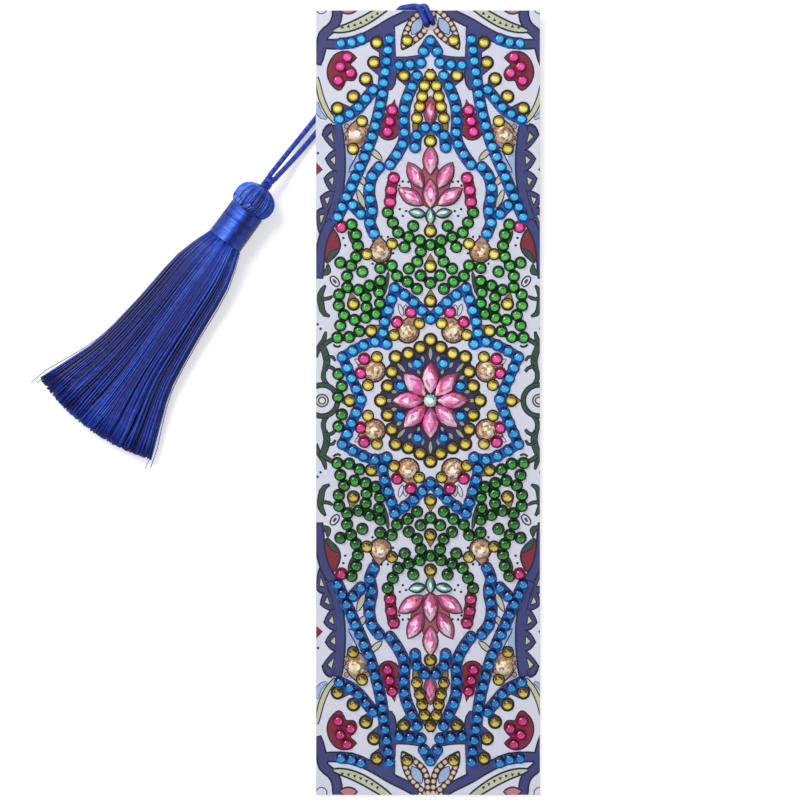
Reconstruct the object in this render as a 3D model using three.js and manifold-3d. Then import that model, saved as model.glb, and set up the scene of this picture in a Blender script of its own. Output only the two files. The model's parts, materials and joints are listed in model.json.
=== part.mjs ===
// A diamond painting bookmark: two laminated sheets of imitation leather, a printed glue film
// set with round resin drills and larger crystals in the pattern of an eight-petalled mandala,
// and a tassel on a doubled satin cord that is hitched through a hole at the card's top edge.
//
// Millimetres. The origin is the middle of the card's underside, +X is right, +Y runs towards
// the hole and +Z is up, out of the decorated face.

import * as THREE from "three";
import { mergeVertices } from "three/addons/utils/BufferGeometryUtils.js";
import Module from "manifold-3d";

const wasm = await Module();
wasm.setup();

// Card
const cardWidth = 60;
const cardLength = 210;
const backThickness = 0.6;
const faceThickness = 0.7;
const filmThickness = 0.1;
const filmInset = 0.4;
const holeDiameter = 3.8;
const holeToEdge = 3.5;
const holeAside = 0.5;
const holeFilmMargin = 0.3;
const holeSegments = 8;

// Round drills, each a low cut stone with six facets
const drillDiameter = 2.6;
const drillHeight = 1.25;
const drillPitch = 3;
const drillSides = 6;
const stoneClearance = 0.1;

// Crystals: length and width across the card, girdle, full height and the share of the table
const petalLength = 8;
const petalWidth = 4.2;
const lotusLength = 7.4;
const lotusWidth = 3.4;
const archLength = 6;
const archWidth = 2.8;
const sepalLength = 4;
const sepalWidth = 1.9;
const champagneDiameter = 4.5;
const centreDiameter = 3.6;
const crystalGirdle = 0.6;
const crystalHeight = 1.9;
const crystalTable = 0.58;
const crystalSides = 8;

// Place of the pattern's middle on the card
const patternAside = 0.65;
const patternAbove = 0.55;

// Cord
const cordDiameter = 1.6;
const cordSides = 8;
const cordGap = 0.1;
const meetingGap = 0.3;
const buttonDiameter = 3.8;

// Tassel: its neck knot lies this far from the middle of the card's head edge, and the other
// sizes are measured along its own axis from there
const neckKnot = [-42.7, -46.3];
const tasselHeading = -126.3;
const knotDiameter = 2.7;
const knotStart = -1.35;
const knotLength = 2.95;
const knotHeight = 4.3;
const neckAxisHeight = 5.3;
const neckAxisFall = 0.03;
const bulbDiameter = 11.4;
const bulbStart = 1.9;
const neckStart = 9.3;
const neckLength = 10.6;
const neckStartDiameter = 8.7;
const neckEndDiameter = 8.9;
const threadFlatness = 0.88;
const windingDiameter = 0.38;
const windingLoops = 12;
const windingSides = 5;
const skirtLength = 58.6;
const shoulderAlong = 5.5;
const shoulderWidth = 13.6;
const flareAlong = 38;
const flareWidth = 23.6;
const skirtWidth = 37.6;
const skirtEndBulge = 3.2;
const skirtEndThickness = 4.7;
const skirtEndHeight = 2.6;
const sliceThickness = 0.9;
const strandCount = 140;
const strandRadius = 0.2;

// Sizes that follow from the ones above
const cordRadius = cordDiameter / 2;
const faceTop = backThickness + faceThickness;
const filmTop = faceTop + filmThickness;
const hole = new THREE.Vector2(holeAside, cardLength / 2 - holeToEdge);

// The card's foot touches the table and its head lies on the cord, so the table falls away
// under the card: at cardEdgeY the two strands, which leave under the left edge there, fit
// under the card.
const cardEdgeY = 72.5;
const tableSlope = (cordDiameter + cordGap) / (cardEdgeY + cardLength / 2);
const tableTilt = Math.atan(tableSlope);

const leather = new THREE.MeshStandardMaterial({ color: 0xe9e6e0, roughness: 0.62 });
const printedLeather = new THREE.MeshStandardMaterial({ color: 0xd2d3e6, roughness: 0.55 });
const drillResin = new THREE.MeshStandardMaterial({ color: 0x2aa0dc, roughness: 0.18 });
const pinkCrystal = new THREE.MeshStandardMaterial({ color: 0xf08ab8, roughness: 0.08 });
const champagneCrystal = new THREE.MeshStandardMaterial({ color: 0xd8b98a, roughness: 0.08 });
const aquaCrystal = new THREE.MeshStandardMaterial({ color: 0xa8e8e0, roughness: 0.08 });
const satinCord = new THREE.MeshStandardMaterial({ color: 0x2b3fae, roughness: 0.5 });
const tasselThread = new THREE.MeshStandardMaterial({ color: 0x2c45bd, roughness: 0.6 });

const bookmark = new THREE.Group();
bookmark.name = "diamond_painting_bookmark";

function place(geometry, name, material, parent, position = [0, 0, 0]) {
  const mesh = new THREE.Mesh(geometry, material);
  mesh.name = name;
  mesh.position.set(...position);
  parent.add(mesh);
  return mesh;
}

// Joining of closed meshes

function solidFrom(geometry) {
  const plain = geometry.index ? geometry.toNonIndexed() : geometry.clone();
  plain.deleteAttribute("normal");
  plain.deleteAttribute("uv");
  const merged = mergeVertices(plain, 1e-4);
  return new wasm.Manifold(
    new wasm.Mesh({
      numProp: 3,
      vertProperties: merged.attributes.position.array,
      triVerts: new Uint32Array(merged.index.array),
    }),
  );
}

function joined(geometries) {
  const sum = geometries.map(solidFrom).reduce((all, next) => all.add(next));
  const mesh = sum.getMesh();
  const indexed = new THREE.BufferGeometry();
  indexed.setAttribute("position", new THREE.BufferAttribute(mesh.vertProperties, 3));
  indexed.setIndex(new THREE.BufferAttribute(mesh.triVerts, 1));
  const faceted = indexed.toNonIndexed();
  faceted.computeVertexNormals();
  return faceted;
}

// Sheets

function sheetShape(inset, holeRadius) {
  const x = cardWidth / 2 - inset;
  const y = cardLength / 2 - inset;
  const outline = new THREE.Shape();
  outline.moveTo(-x, -y);
  outline.lineTo(x, -y);
  outline.lineTo(x, y);
  outline.lineTo(-x, y);
  outline.closePath();
  const start = Math.PI / (2 * holeSegments);
  const end = start + 2 * Math.PI;
  outline.holes.push(new THREE.Path().absarc(hole.x, hole.y, holeRadius, start, end, false));
  return outline;
}

function sheet(inset, holeRadius, thickness) {
  return new THREE.ExtrudeGeometry(sheetShape(inset, holeRadius), {
    depth: thickness,
    curveSegments: holeSegments,
    bevelEnabled: false,
  });
}

// The pattern is drawn in one quadrant, in millimetres from its middle, and mirrored into all
// four. Round drills stand in chains along smooth curves, at the drill pitch.

function chain(...controls) {
  const curve = new THREE.CatmullRomCurve3(controls.map(([u, v]) => new THREE.Vector3(u, v, 0)));
  const steps = Math.max(1, Math.round(curve.getLength() / drillPitch));
  return curve.getSpacedPoints(steps).map((point) => [point.x, point.y]);
}

const starTip = [9.5, 30.1];
const starSideTip = [23.5, 11.6];
const starNotches = [[0, 21.9], [11.7, 15.2], [18.6, 0.4]];

const blueChains = {
  outerArch: chain([11, 96.6], [12.2, 87.2], [13.6, 78], [16.4, 68.4], [20.4, 59], [24.8, 49.1]),
  archCrossing: chain([24.3, 75.3], [20.2, 77.6], [15.3, 83.1]),
  topBand: chain([23.9, 95.5], [21.1, 95.8], [18.5, 96.7]),
  lintel: chain([8.4, 89.7], [5.3, 89.9], [2.6, 90.4]),
  lintelRise: chain([1.8, 93.4], [0, 96.2]),
  innerColumn: chain([3.6, 86.9], [5, 83.8], [6.7, 79.4], [7.1, 74.7], [7, 70], [8.6, 66.4], [10.8, 63.2]),
  lotusFrame: chain([13.7, 62.5], [15.6, 60], [16.4, 55.8], [15.6, 51], [16.2, 47.6], [15.1, 44.7]),
  frameLink: chain([20.8, 52.3], [18.6, 50]),
  innerArch: chain([1.4, 73], [3.7, 70.8], [4.1, 67.8]),
  starTop: chain(starNotches[0], [4.6, 26.5], starTip),
  starShoulder: chain(starTip, [11.3, 24.3], [12.7, 18.2], starNotches[1]),
  starFlank: chain(starNotches[1], [15, 15.8], [20.6, 13.4], starSideTip),
  starSide: chain(starSideTip, starNotches[2]),
};

const greenChains = {
  lotusFoot: chain([11.4, 50.3], [10.1, 47.6], [8.9, 45.1], [5.9, 43.7], [2.9, 42.8], [0, 41.6]),
  footStem: chain([2.9, 42.8], [2.6, 39.4], [3.6, 37], [5.8, 35.2]),
  footRoot: chain([2.6, 33.4], [0, 31.4]),
  footArm: chain([3.6, 29.8], [5.9, 31.6], [8.9, 33.2], [10.5, 36.1], [13.4, 35.4]),
  scroll: chain([21.1, 47], [19.9, 44.2], [19.4, 41.2], [19.9, 38.4], [20.9, 36.1], [24.1, 36.8]),
  leafOuter: chain([22.3, 33.2], [22.3, 30.1], [24.4, 28.3], [24.6, 25.7], [23.1, 22.8], [24.1, 20]),
  leafTop: chain([22.3, 30.1], [19.5, 29.5], [16.5, 30.6], [13.4, 31.9]),
  leafInner: chain([13.4, 31.9], [13.7, 29.1], [13.4, 26.4], [14.6, 23.1], [17.5, 22.1], [20.3, 21.5]),
  leafVein: chain([17.3, 27.6], [17.1, 24.9]),
  leafTail: chain([19, 18.5], [21.9, 16.9], [24.9, 16.8]),
};

const singleDrills = {
  blue: [[3.5, 9.9], [8, 4]],
  green: [[4.6, 46.6], [6.9, 41], [18.2, 34.4]],
  yellow: [
    [6.2, 96.3], [14.3, 95.7], [15.1, 90.4], [17.3, 86], [20.6, 81.3], [24.8, 78.1], [7.1, 86.9],
    [0, 87], [1.6, 84.2], [2.2, 81.3], [2.8, 78.6], [3.6, 75.5], [0, 69.4], [18.3, 74.7],
    [20.7, 67.3], [0, 45.3], [0, 35.9], [0, 26.6], [10.3, 41.9], [17, 39.1], [20.6, 25.8],
    [15.8, 18.6], [3, 20.6], [9.7, 17.5], [14.3, 11.6], [16.7, 4.1], [21.6, 0], [0, 16.2],
    [2.7, 14.1], [5.9, 12.5], [9.3, 11.6], [10.3, 7.7], [11.4, 3.8], [13.2, 0],
  ],
  magenta: [
    [22.3, 91.8], [24.1, 89.3], [21.4, 87.6], [24.6, 85.6], [10.2, 77.6], [10.9, 74.7],
    [11.5, 71.9], [9.8, 59.4], [10.5, 56.2], [10.8, 53.1], [23.8, 46.4], [5.2, 23.6],
    [8.9, 20.9], [17.7, 11.1], [18.65, 7.3],
  ],
};

// Three more green drills stand beside the left edge only, above the middle and again below it
const leftEdgeDrills = [[-24.6, 7], [-23.7, 3.8], [-24.7, 0.9]];

function ring(radius, angles) {
  return angles.map((angle) => {
    const a = THREE.MathUtils.degToRad(angle);
    return [radius * Math.sin(a), radius * Math.cos(a)];
  });
}

const eighths = [0, 45, 90, 135, 180, 225, 270, 315];
const rosetteRadius = centreDiameter / 2 + stoneClearance + petalLength / 2;

// Crystals, one entry for each place in a quadrant: name, kind, place, lean from +Y, mirrors

const round = (diameter, material) => ({ length: diameter, width: diameter, material });
const marquise = (length, width, material) => ({ length, width, material, pointed: true });
const petal = marquise(petalLength, petalWidth, pinkCrystal);
const lotusPetal = marquise(lotusLength, lotusWidth, pinkCrystal);
const archPetal = marquise(archLength, archWidth, pinkCrystal);
const sepal = marquise(sepalLength, sepalWidth, aquaCrystal);
const champagne = round(champagneDiameter, champagneCrystal);
const centreStone = round(centreDiameter, aquaCrystal);

const crystalPlaces = [
  { name: "centre_crystal", kind: centreStone, at: [0, 0], lean: 0, mirror: "none" },
  { name: "arch_petal", kind: archPetal, at: [0, 77.3], lean: 0, mirror: "ends" },
  { name: "lotus_top_petal", kind: lotusPetal, at: [0, 64.3], lean: 0, mirror: "ends" },
  { name: "lotus_upper_petal", kind: lotusPetal, at: [4, 60.2], lean: 29, mirror: "all" },
  { name: "lotus_side_petal", kind: lotusPetal, at: [5.2, 54.5], lean: 56, mirror: "all" },
  { name: "lotus_heart_petal", kind: lotusPetal, at: [0, 55.3], lean: 0, mirror: "ends" },
  { name: "lotus_side_sepal", kind: sepal, at: [3.5, 50.1], lean: 80, mirror: "all" },
  { name: "lotus_foot_sepal", kind: sepal, at: [0, 49.3], lean: 0, mirror: "ends" },
  { name: "arch_crystal", kind: champagne, at: [19.7, 71.1], lean: 0, mirror: "all" },
  { name: "lotus_foot_crystal", kind: champagne, at: [13.4, 39.8], lean: 0, mirror: "all" },
  { name: "star_top_crystal", kind: champagne, at: [6.1, 18.5], lean: 0, mirror: "all" },
  { name: "star_side_crystal", kind: champagne, at: [15.1, 8], lean: 0, mirror: "all" },
];

const quadrants = [
  { x: 1, y: 1, label: "head_right" },
  { x: -1, y: 1, label: "head_left" },
  { x: 1, y: -1, label: "foot_right" },
  { x: -1, y: -1, label: "foot_left" },
];
const ends = [
  { x: 1, y: 1, label: "head" },
  { x: 1, y: -1, label: "foot" },
];
const mirrors = { none: [{ x: 1, y: 1, label: "" }], ends, all: quadrants };

function crystalList() {
  const list = crystalPlaces.flatMap(({ name, kind, at, lean, mirror }) =>
    mirrors[mirror].map((side) => ({
      name: side.label ? `${name}_${side.label}` : name,
      kind,
      x: patternAside + side.x * at[0],
      y: patternAbove + side.y * at[1],
      turn: -side.x * side.y * THREE.MathUtils.degToRad(lean),
    })),
  );
  const petals = ring(rosetteRadius, eighths).map(([u, v], i) => ({
    name: `rosette_petal_${i + 1}`,
    kind: petal,
    x: patternAside + u,
    y: patternAbove + v,
    turn: -THREE.MathUtils.degToRad(eighths[i]),
  }));
  return [...list, ...petals].filter(({ kind, x, y }) => onCard(x, y, kind.length / 2));
}

function onCard(x, y, reach) {
  const inside =
    Math.abs(x) + reach < cardWidth / 2 - filmInset && Math.abs(y) + reach < cardLength / 2 - filmInset;
  const clearOfHole = Math.hypot(x - hole.x, y - hole.y) > holeDiameter / 2 + holeFilmMargin + reach;
  return inside && clearOfHole;
}

// A crystal is a low brilliant: a girdle, one row of crown facets and a table. A marquise is
// the same body with its outline drawn in to two points along Y.

function crystalGeometry({ length, width, pointed }) {
  const profile = [
    new THREE.Vector2(0, 0),
    new THREE.Vector2(1, 0),
    new THREE.Vector2(1, crystalGirdle),
    new THREE.Vector2(crystalTable, crystalHeight),
    new THREE.Vector2(0, crystalHeight),
  ];
  const body = new THREE.LatheGeometry(profile, crystalSides).rotateX(Math.PI / 2);
  const points = body.getAttribute("position");
  for (let i = 0; i < points.count; i++) {
    const x = points.getX(i);
    const y = points.getY(i);
    const reach = Math.hypot(x, y);
    const across = pointed && reach > 0 ? (x * Math.abs(x)) / reach : x;
    points.setXY(i, (across * width) / 2, (y * length) / 2);
  }
  return body;
}

// Distance from a point of the card to a crystal's outline, negative inside it

function distanceToCrystal(crystal, x, y) {
  const dx = x - crystal.x;
  const dy = y - crystal.y;
  const along = dy * Math.cos(crystal.turn) - dx * Math.sin(crystal.turn);
  const across = dx * Math.cos(crystal.turn) + dy * Math.sin(crystal.turn);
  const { length, width, pointed } = crystal.kind;
  if (!pointed) return Math.hypot(dx, dy) - length / 2;
  const share = Math.min(1, Math.abs(along) / (length / 2));
  const edge = (width / 2) * (1 - share * share);
  const past = Math.max(0, Math.abs(along) - length / 2);
  return Math.hypot(Math.max(0, Math.abs(across) - edge), past);
}

function drillList(crystals) {
  const groups = [blueChains, greenChains, singleDrills];
  const quadrantDrills = groups.flatMap((group) => Object.values(group).flat());
  const mirrored = quadrants.flatMap(({ x, y }) => quadrantDrills.map(([u, v]) => [x * u, y * v]));
  const besideEdge = ends.flatMap(({ y }) => leftEdgeDrills.map(([u, v]) => [u, y * v]));
  const kept = [];
  for (const [u, v] of [...mirrored, ...besideEdge]) {
    const x = patternAside + u;
    const y = patternAbove + v;
    const free = (other) => Math.hypot(x - other[0], y - other[1]) > drillDiameter;
    const seated = (crystal) => distanceToCrystal(crystal, x, y) > drillDiameter / 2 + stoneClearance / 2;
    if (onCard(x, y, drillDiameter / 2) && kept.every(free) && crystals.every(seated)) kept.push([x, y]);
  }
  return kept;
}

function drill(x, y) {
  return new THREE.ConeGeometry(drillDiameter / 2, drillHeight, drillSides)
    .rotateX(Math.PI / 2)
    .translate(x, y, filmThickness + drillHeight / 2);
}

function addCard() {
  const holeRadius = holeDiameter / 2;
  place(sheet(0, holeRadius, backThickness), "back_sheet", leather, bookmark);
  place(sheet(0, holeRadius, faceThickness), "face_sheet", printedLeather, bookmark, [0, 0, backThickness]);
  const crystals = crystalList();
  const film = sheet(filmInset, holeRadius + holeFilmMargin, filmThickness);
  const studs = drillList(crystals).map(([x, y]) => drill(x, y));
  place(joined([film, ...studs]), "drilled_film", drillResin, bookmark, [0, 0, faceTop]);
  for (const { name, kind, x, y, turn } of crystals) {
    const stone = crystalGeometry(kind).rotateZ(turn);
    place(stone, name, kind.material, bookmark, [x, y, filmTop]);
  }
}

// Cord

function section(radius, sides) {
  const corners = Array.from({ length: sides }, (_, i) => {
    const angle = (2 * Math.PI * i) / sides;
    return new THREE.Vector2(radius * Math.cos(angle), radius * Math.sin(angle));
  });
  return new THREE.Shape(corners);
}

function tube(curve, diameter, sides, steps) {
  return new THREE.ExtrudeGeometry(section(diameter / 2, sides), {
    steps,
    extrudePath: curve,
    bevelEnabled: false,
  });
}

function route(points) {
  return new THREE.CatmullRomCurve3(points.map((point) => new THREE.Vector3(...point)));
}

// The hitch: two turns through the hole and over the head edge, which meet behind the card in
// a flat button where the bight crosses its own strands. Y is measured from the head edge.

const headEdge = new THREE.Group();
headEdge.position.set(0, cardLength / 2, 0);
bookmark.add(headEdge);

const button = [-7.8, -1.1];
const underCard = -(cordRadius + cordGap);
const overCard = filmTop + cordRadius + cordGap;

const rightTurn = [
  [-6.9, -1.6, underCard],
  [-5, -1.1, underCard],
  [-2.9, -1.1, underCard],
  [-0.8, -1.6, underCard - 0.05],
  [0.5, -2.3, underCard],
  [1.2, -3.1, underCard + 0.6],
  [1.28, -3.3, underCard + 1.6],
  [1.12, -3, overCard - 0.5],
  [0.5, -1.7, overCard],
  [-0.1, -0.4, overCard],
  [-0.65, 0.75, overCard - 0.4],
  [-1.05, 1.1, overCard - 1.4],
  [-1.75, 1.15, overCard - 2.3],
  [-2.9, 0.95, underCard + 0.2],
  [-4.6, 0.7, underCard],
  [-6.4, 0.4, underCard],
  [-7.8, -0.2, underCard],
];

const leftTurn = [
  [-7.3, -2.4, underCard],
  [-5, -2.6, underCard],
  [-2.6, -2.7, underCard],
  [-1.3, -3.05, underCard - 0.05],
  [-0.5, -3.5, underCard + 0.45],
  [-0.24, -3.8, underCard + 1.5],
  [-0.42, -3.6, overCard - 0.5],
  [-1, -2.5, overCard],
  [-1.9, -0.6, overCard],
  [-2.45, 0.45, overCard - 0.15],
  [-3.1, 0.95, overCard - 0.8],
  [-4.2, 1.05, overCard - 1.3],
  [-5.4, 1, overCard - 2],
  [-6.5, 0.95, underCard + 0.5],
  [-7.4, 0.7, underCard + 0.05],
  [-8, 0, underCard],
];

function buttonGeometry() {
  const radius = buttonDiameter / 2;
  const low = -tableSlope * (button[1] + cardLength) + cordGap;
  const high = -cordGap;
  const chamfer = 0.5;
  const profile = [
    [0, low],
    [radius - chamfer, low],
    [radius, low + chamfer],
    [radius, high - chamfer],
    [radius - chamfer, high],
    [0, high],
  ].map(([x, y]) => new THREE.Vector2(x, y));
  return new THREE.LatheGeometry(profile, 16).rotateX(Math.PI / 2).translate(...button, 0);
}

function addHitch() {
  const turns = [rightTurn, leftTurn].map((points) => tube(route(points), cordDiameter, cordSides, 26));
  place(joined([...turns, buttonGeometry()]), "cord_hitch", satinCord, headEdge);
}

// What lies on the table: x and y from the head edge's middle, z from the table's surface

const table = new THREE.Group();
table.position.set(0, -cardLength / 2, 0);
table.rotation.x = -tableTilt;
bookmark.add(table);
const lying = new THREE.Group();
lying.position.set(0, cardLength, 0);
table.add(lying);

const onTable = cordRadius + cordGap / 2;

const leftStrand = [
  [-9.9, -2.4, onTable],
  [-14.5, -8.4, onTable],
  [-20.1, -15.6, onTable],
  [-25.4, -22.6, onTable],
  [-30, -28.5, onTable],
  [-34.4, -34.1, onTable + 0.6],
  [-38.6, -39.5, onTable + 2],
  [-41.2, -43, knotHeight - 0.3],
  [-42.3, -44.5, knotHeight],
];

const rightStrand = [
  [-8.5, -3.5, onTable],
  [-12.9, -9.6, onTable],
  [-18.3, -17, onTable],
  [-24.2, -24.8, onTable],
  [-30, -32.5, onTable],
  [-34, -37.4, onTable + 0.6],
  [-37.8, -41.8, onTable + 2],
  [-40, -44.3, knotHeight - 0.3],
  [-41, -45.5, knotHeight],
];

function addStrands() {
  place(tube(route(leftStrand), cordDiameter, cordSides, 20), "cord_strand_left", satinCord, lying);
  place(tube(route(rightStrand), cordDiameter, cordSides, 20), "cord_strand_right", satinCord, lying);
}

// Tassel: X along its axis from the neck knot, Z from the table

const tassel = new THREE.Group();
tassel.position.set(...neckKnot, 0);
tassel.rotation.z = THREE.MathUtils.degToRad(tasselHeading);
lying.add(tassel);

function turned(profile, segments) {
  const points = profile.map(([radius, along]) => new THREE.Vector2(radius, along));
  return new THREE.LatheGeometry(points, segments).rotateZ(-Math.PI / 2);
}

function knotGeometry() {
  const radius = knotDiameter / 2;
  const profile = [[0, 0], [0.6, 0], [1, 0.25], [0.82, 0.5], [1, 0.75], [0.6, 1], [0, 1]].map(
    ([width, share]) => [radius * width, knotStart + knotLength * share],
  );
  return turned(profile, 12);
}

const neckEnd = neckStart + neckLength;

function neckRadius(along) {
  const share = (along - neckStart) / neckLength;
  return THREE.MathUtils.lerp(neckStartDiameter, neckEndDiameter, share) / 2;
}

function headGeometry() {
  const radius = bulbDiameter / 2;
  const length = neckStart - bulbStart;
  const bulb = [0.22, 0.6, 0.86, 0.98, 1, 0.94].map((share, i) => [
    radius * share,
    bulbStart + length * [0, 0.08, 0.24, 0.44, 0.64, 0.84][i],
  ]);
  return turned(
    [[0, bulbStart], ...bulb, [neckRadius(neckStart), neckStart], [neckRadius(neckEnd), neckEnd], [0, neckEnd]],
    20,
  );
}

// The winding is one thread that winds round the neck from the bulb to the skirt

const windingSteps = 20;

function windingPoints() {
  const margin = windingDiameter;
  const points = [];
  for (let i = 0; i <= windingLoops * windingSteps; i++) {
    const angle = (2 * Math.PI * i) / windingSteps;
    const share = i / (windingLoops * windingSteps);
    const along = neckStart + margin + (neckLength - 2 * margin) * share;
    const radius = neckRadius(along) + meetingGap + windingDiameter / 2;
    points.push(new THREE.Vector3(along, radius * Math.cos(angle), radius * Math.sin(angle)));
  }
  return points;
}

function leastGap(points, diameter, halfLoop) {
  let least = Infinity;
  for (let i = 0; i < points.length; i++)
    for (let j = i + halfLoop; j < points.length; j++)
      least = Math.min(least, points[i].distanceTo(points[j]));
  return least - diameter;
}

function addNeck() {
  const neck = new THREE.Group();
  neck.position.set(0, 0, neckAxisHeight);
  neck.rotation.y = Math.atan(neckAxisFall);
  neck.scale.z = threadFlatness;
  tassel.add(neck);
  place(headGeometry(), "tassel_head", tasselThread, neck);
  const points = windingPoints();
  const gap = leastGap(points, windingDiameter, windingSteps / 2);
  console.log("least gap in the neck winding, mm:", gap.toFixed(2));
  const steps = windingLoops * windingSteps;
  const winding = tube(new THREE.CatmullRomCurve3(points), windingDiameter, windingSides, steps);
  place(winding, "neck_winding", tasselThread, neck);
}

// The skirt: straight threads that spread from a round slice under the neck into a flat fan.
// Each keeps its place in the bundle, so that none crosses another, and all are about as long,
// so the middle of the cut end stands out.

const skirtStart = neckEnd + meetingGap;
const skirtStations = [
  { along: sliceThickness / 2, width: neckEndDiameter * 0.94, thick: 1, height: 0 },
  { along: shoulderAlong, width: shoulderWidth, thick: 1, height: 0.06 },
  { along: flareAlong, width: flareWidth, thick: 0.6, height: 0.55 },
  { along: skirtLength, width: skirtWidth, thick: 0, height: 1 },
];

function strandGeometry(index) {
  const goldenAngle = Math.PI * (3 - Math.sqrt(5));
  const reach = Math.sqrt((index + 0.5) / strandCount);
  const across = reach * Math.cos(index * goldenAngle);
  const up = reach * Math.sin(index * goldenAngle);
  const ragged = 1 - 0.03 * Math.abs(Math.sin(index * 12.9));
  const stretch = ragged + (skirtEndBulge / skirtLength) * (1 - across * across);
  const bundleHeight = neckAxisHeight - neckAxisFall * skirtStart;
  const points = skirtStations.map(({ along, width, thick, height }) => {
    const full = neckEndDiameter * 0.94 * threadFlatness;
    const depth = THREE.MathUtils.lerp(skirtEndThickness, full, thick);
    const middle = THREE.MathUtils.lerp(bundleHeight, skirtEndHeight, height);
    return new THREE.Vector3(skirtStart + along * stretch, (across * width) / 2, middle + (up * depth) / 2);
  });
  return threeSidedStrand(points);
}

function threeSidedStrand(points) {
  const corners = [0, 1, 2].map((i) => (2 * Math.PI * i) / 3 + Math.PI / 2);
  const positions = points.flatMap((point) =>
    corners.flatMap((angle) => [
      point.x,
      point.y + strandRadius * Math.cos(angle),
      point.z + strandRadius * Math.sin(angle),
    ]),
  );
  const faces = [2, 1, 0];
  for (let ringIndex = 0; ringIndex < points.length - 1; ringIndex++)
    for (let side = 0; side < 3; side++) {
      const a = ringIndex * 3 + side;
      const b = ringIndex * 3 + ((side + 1) % 3);
      faces.push(a, b, b + 3, a, b + 3, a + 3);
    }
  const last = (points.length - 1) * 3;
  faces.push(last, last + 1, last + 2);
  const strand = new THREE.BufferGeometry();
  strand.setAttribute("position", new THREE.Float32BufferAttribute(positions, 3));
  strand.setIndex(faces);
  return strand;
}

function skirtGeometry() {
  const radius = neckEndDiameter / 2;
  const slice = turned([[0, 0], [radius, 0], [radius, sliceThickness], [0, sliceThickness]], 20)
    .scale(1, 1, threadFlatness)
    .translate(skirtStart, 0, neckAxisHeight - neckAxisFall * skirtStart);
  const strands = Array.from({ length: strandCount }, (_, index) => strandGeometry(index));
  return joined([slice, ...strands]);
}

function addTassel() {
  place(knotGeometry(), "neck_knot", satinCord, tassel, [0, 0, knotHeight]);
  addNeck();
  place(skirtGeometry(), "tassel_skirt", tasselThread, tassel);
}

addCard();
addHitch();
addStrands();
addTassel();

export default bookmark;
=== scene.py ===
import json
import math
import random

import bmesh
import bpy
import numpy as np
from mathutils import Matrix, Vector, geometry


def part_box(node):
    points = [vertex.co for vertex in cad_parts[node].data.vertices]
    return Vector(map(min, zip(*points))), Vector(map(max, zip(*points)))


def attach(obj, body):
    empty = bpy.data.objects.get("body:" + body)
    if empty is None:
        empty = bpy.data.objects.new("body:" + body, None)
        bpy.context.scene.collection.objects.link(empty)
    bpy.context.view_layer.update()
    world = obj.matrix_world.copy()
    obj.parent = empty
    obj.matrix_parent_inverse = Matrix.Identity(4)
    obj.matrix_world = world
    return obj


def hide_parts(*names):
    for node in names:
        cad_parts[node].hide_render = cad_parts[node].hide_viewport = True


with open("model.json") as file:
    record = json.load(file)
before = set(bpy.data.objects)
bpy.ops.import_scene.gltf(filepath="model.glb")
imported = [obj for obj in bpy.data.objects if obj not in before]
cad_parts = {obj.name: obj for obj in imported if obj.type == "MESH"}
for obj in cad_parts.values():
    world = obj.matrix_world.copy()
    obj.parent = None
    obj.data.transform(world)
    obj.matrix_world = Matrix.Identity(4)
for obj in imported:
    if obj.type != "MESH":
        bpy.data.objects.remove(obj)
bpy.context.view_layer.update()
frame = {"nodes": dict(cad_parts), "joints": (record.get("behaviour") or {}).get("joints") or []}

# A diamond painting bookmark: a printed card of imitation leather set with resin drills and cut
# crystals, and a silky tassel on a doubled satin cord. Shapes are written in millimetres, in the
# card's frame, the table's frame or the tassel's own, and placed in metres.

MM = 0.001

# The card, from the frame. The clear film under the stones isn't drawn
HALF_WIDTH, HALF_LENGTH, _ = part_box("back_sheet")[1] / MM
FACE_LOW, FACE_TOP = ((corner / MM).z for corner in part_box("face_sheet"))
STONE_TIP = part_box("drilled_film")[1].z / MM
CRYSTAL_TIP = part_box("centre_crystal")[1].z / MM
FILM_THICKNESS = 0.1
EDGE_ROUND = 0.08
HOLE = Vector((0.5, HALF_LENGTH - 3.5))
HOLE_RADIUS = 1.9
# The ornament's middle, a little off the card's own
PATTERN = Vector((0.65, 0.55))

# The cord, and where the tassel hangs on it; heights are above the table
CORD_DIAMETER = 1.6
CORD_GAP = 0.1
STRAND_DIAMETER = 1.4
CORD_HEIGHT = CORD_DIAMETER / 2 + CORD_GAP / 2
NECK_KNOT = (-42.7, 58.7)
TASSEL_HEADING = math.radians(-126.3)
KNOT_HEIGHT = 4.3
NECK_HEIGHT = 5.3
NECK_FALL = 0.03
THREAD_FLATNESS = 0.88

# The card's head is raised by what lies under it, so the table is tilted in the card's frame
swing_axis = Vector(frame["joints"][0]["axis"])
TABLE_TILT = math.atan2(swing_axis.y, swing_axis.z)


def turning_about_foot(tilt):
    foot = Matrix.Translation((0, -HALF_LENGTH, 0))
    return foot @ Matrix.Rotation(-tilt, 4, "X") @ foot.inverted()


CARD_FRAME = Matrix.Identity(4)
TABLE_FRAME = turning_about_foot(TABLE_TILT)
TASSEL_FRAME = (
    TABLE_FRAME @ Matrix.Translation((*NECK_KNOT, 0)) @ Matrix.Rotation(TASSEL_HEADING, 4, "Z")
)
NECK_FRAME = (
    TASSEL_FRAME
    @ Matrix.Translation((0, 0, NECK_HEIGHT))
    @ Matrix.Rotation(math.atan(NECK_FALL), 4, "Y")
    @ Matrix.Diagonal((1, 1, THREAD_FLATNESS, 1))
)


# Camera: straight above the card, as in the photograph

VIEW_WIDTH = 214.5
VIEW_MIDDLE = (-7.5, 0.7)
LENS = 100
SENSOR = 36


def placed(name, data):
    made = bpy.data.objects.new(name, data)
    bpy.context.scene.collection.objects.link(made)
    return made


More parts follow.
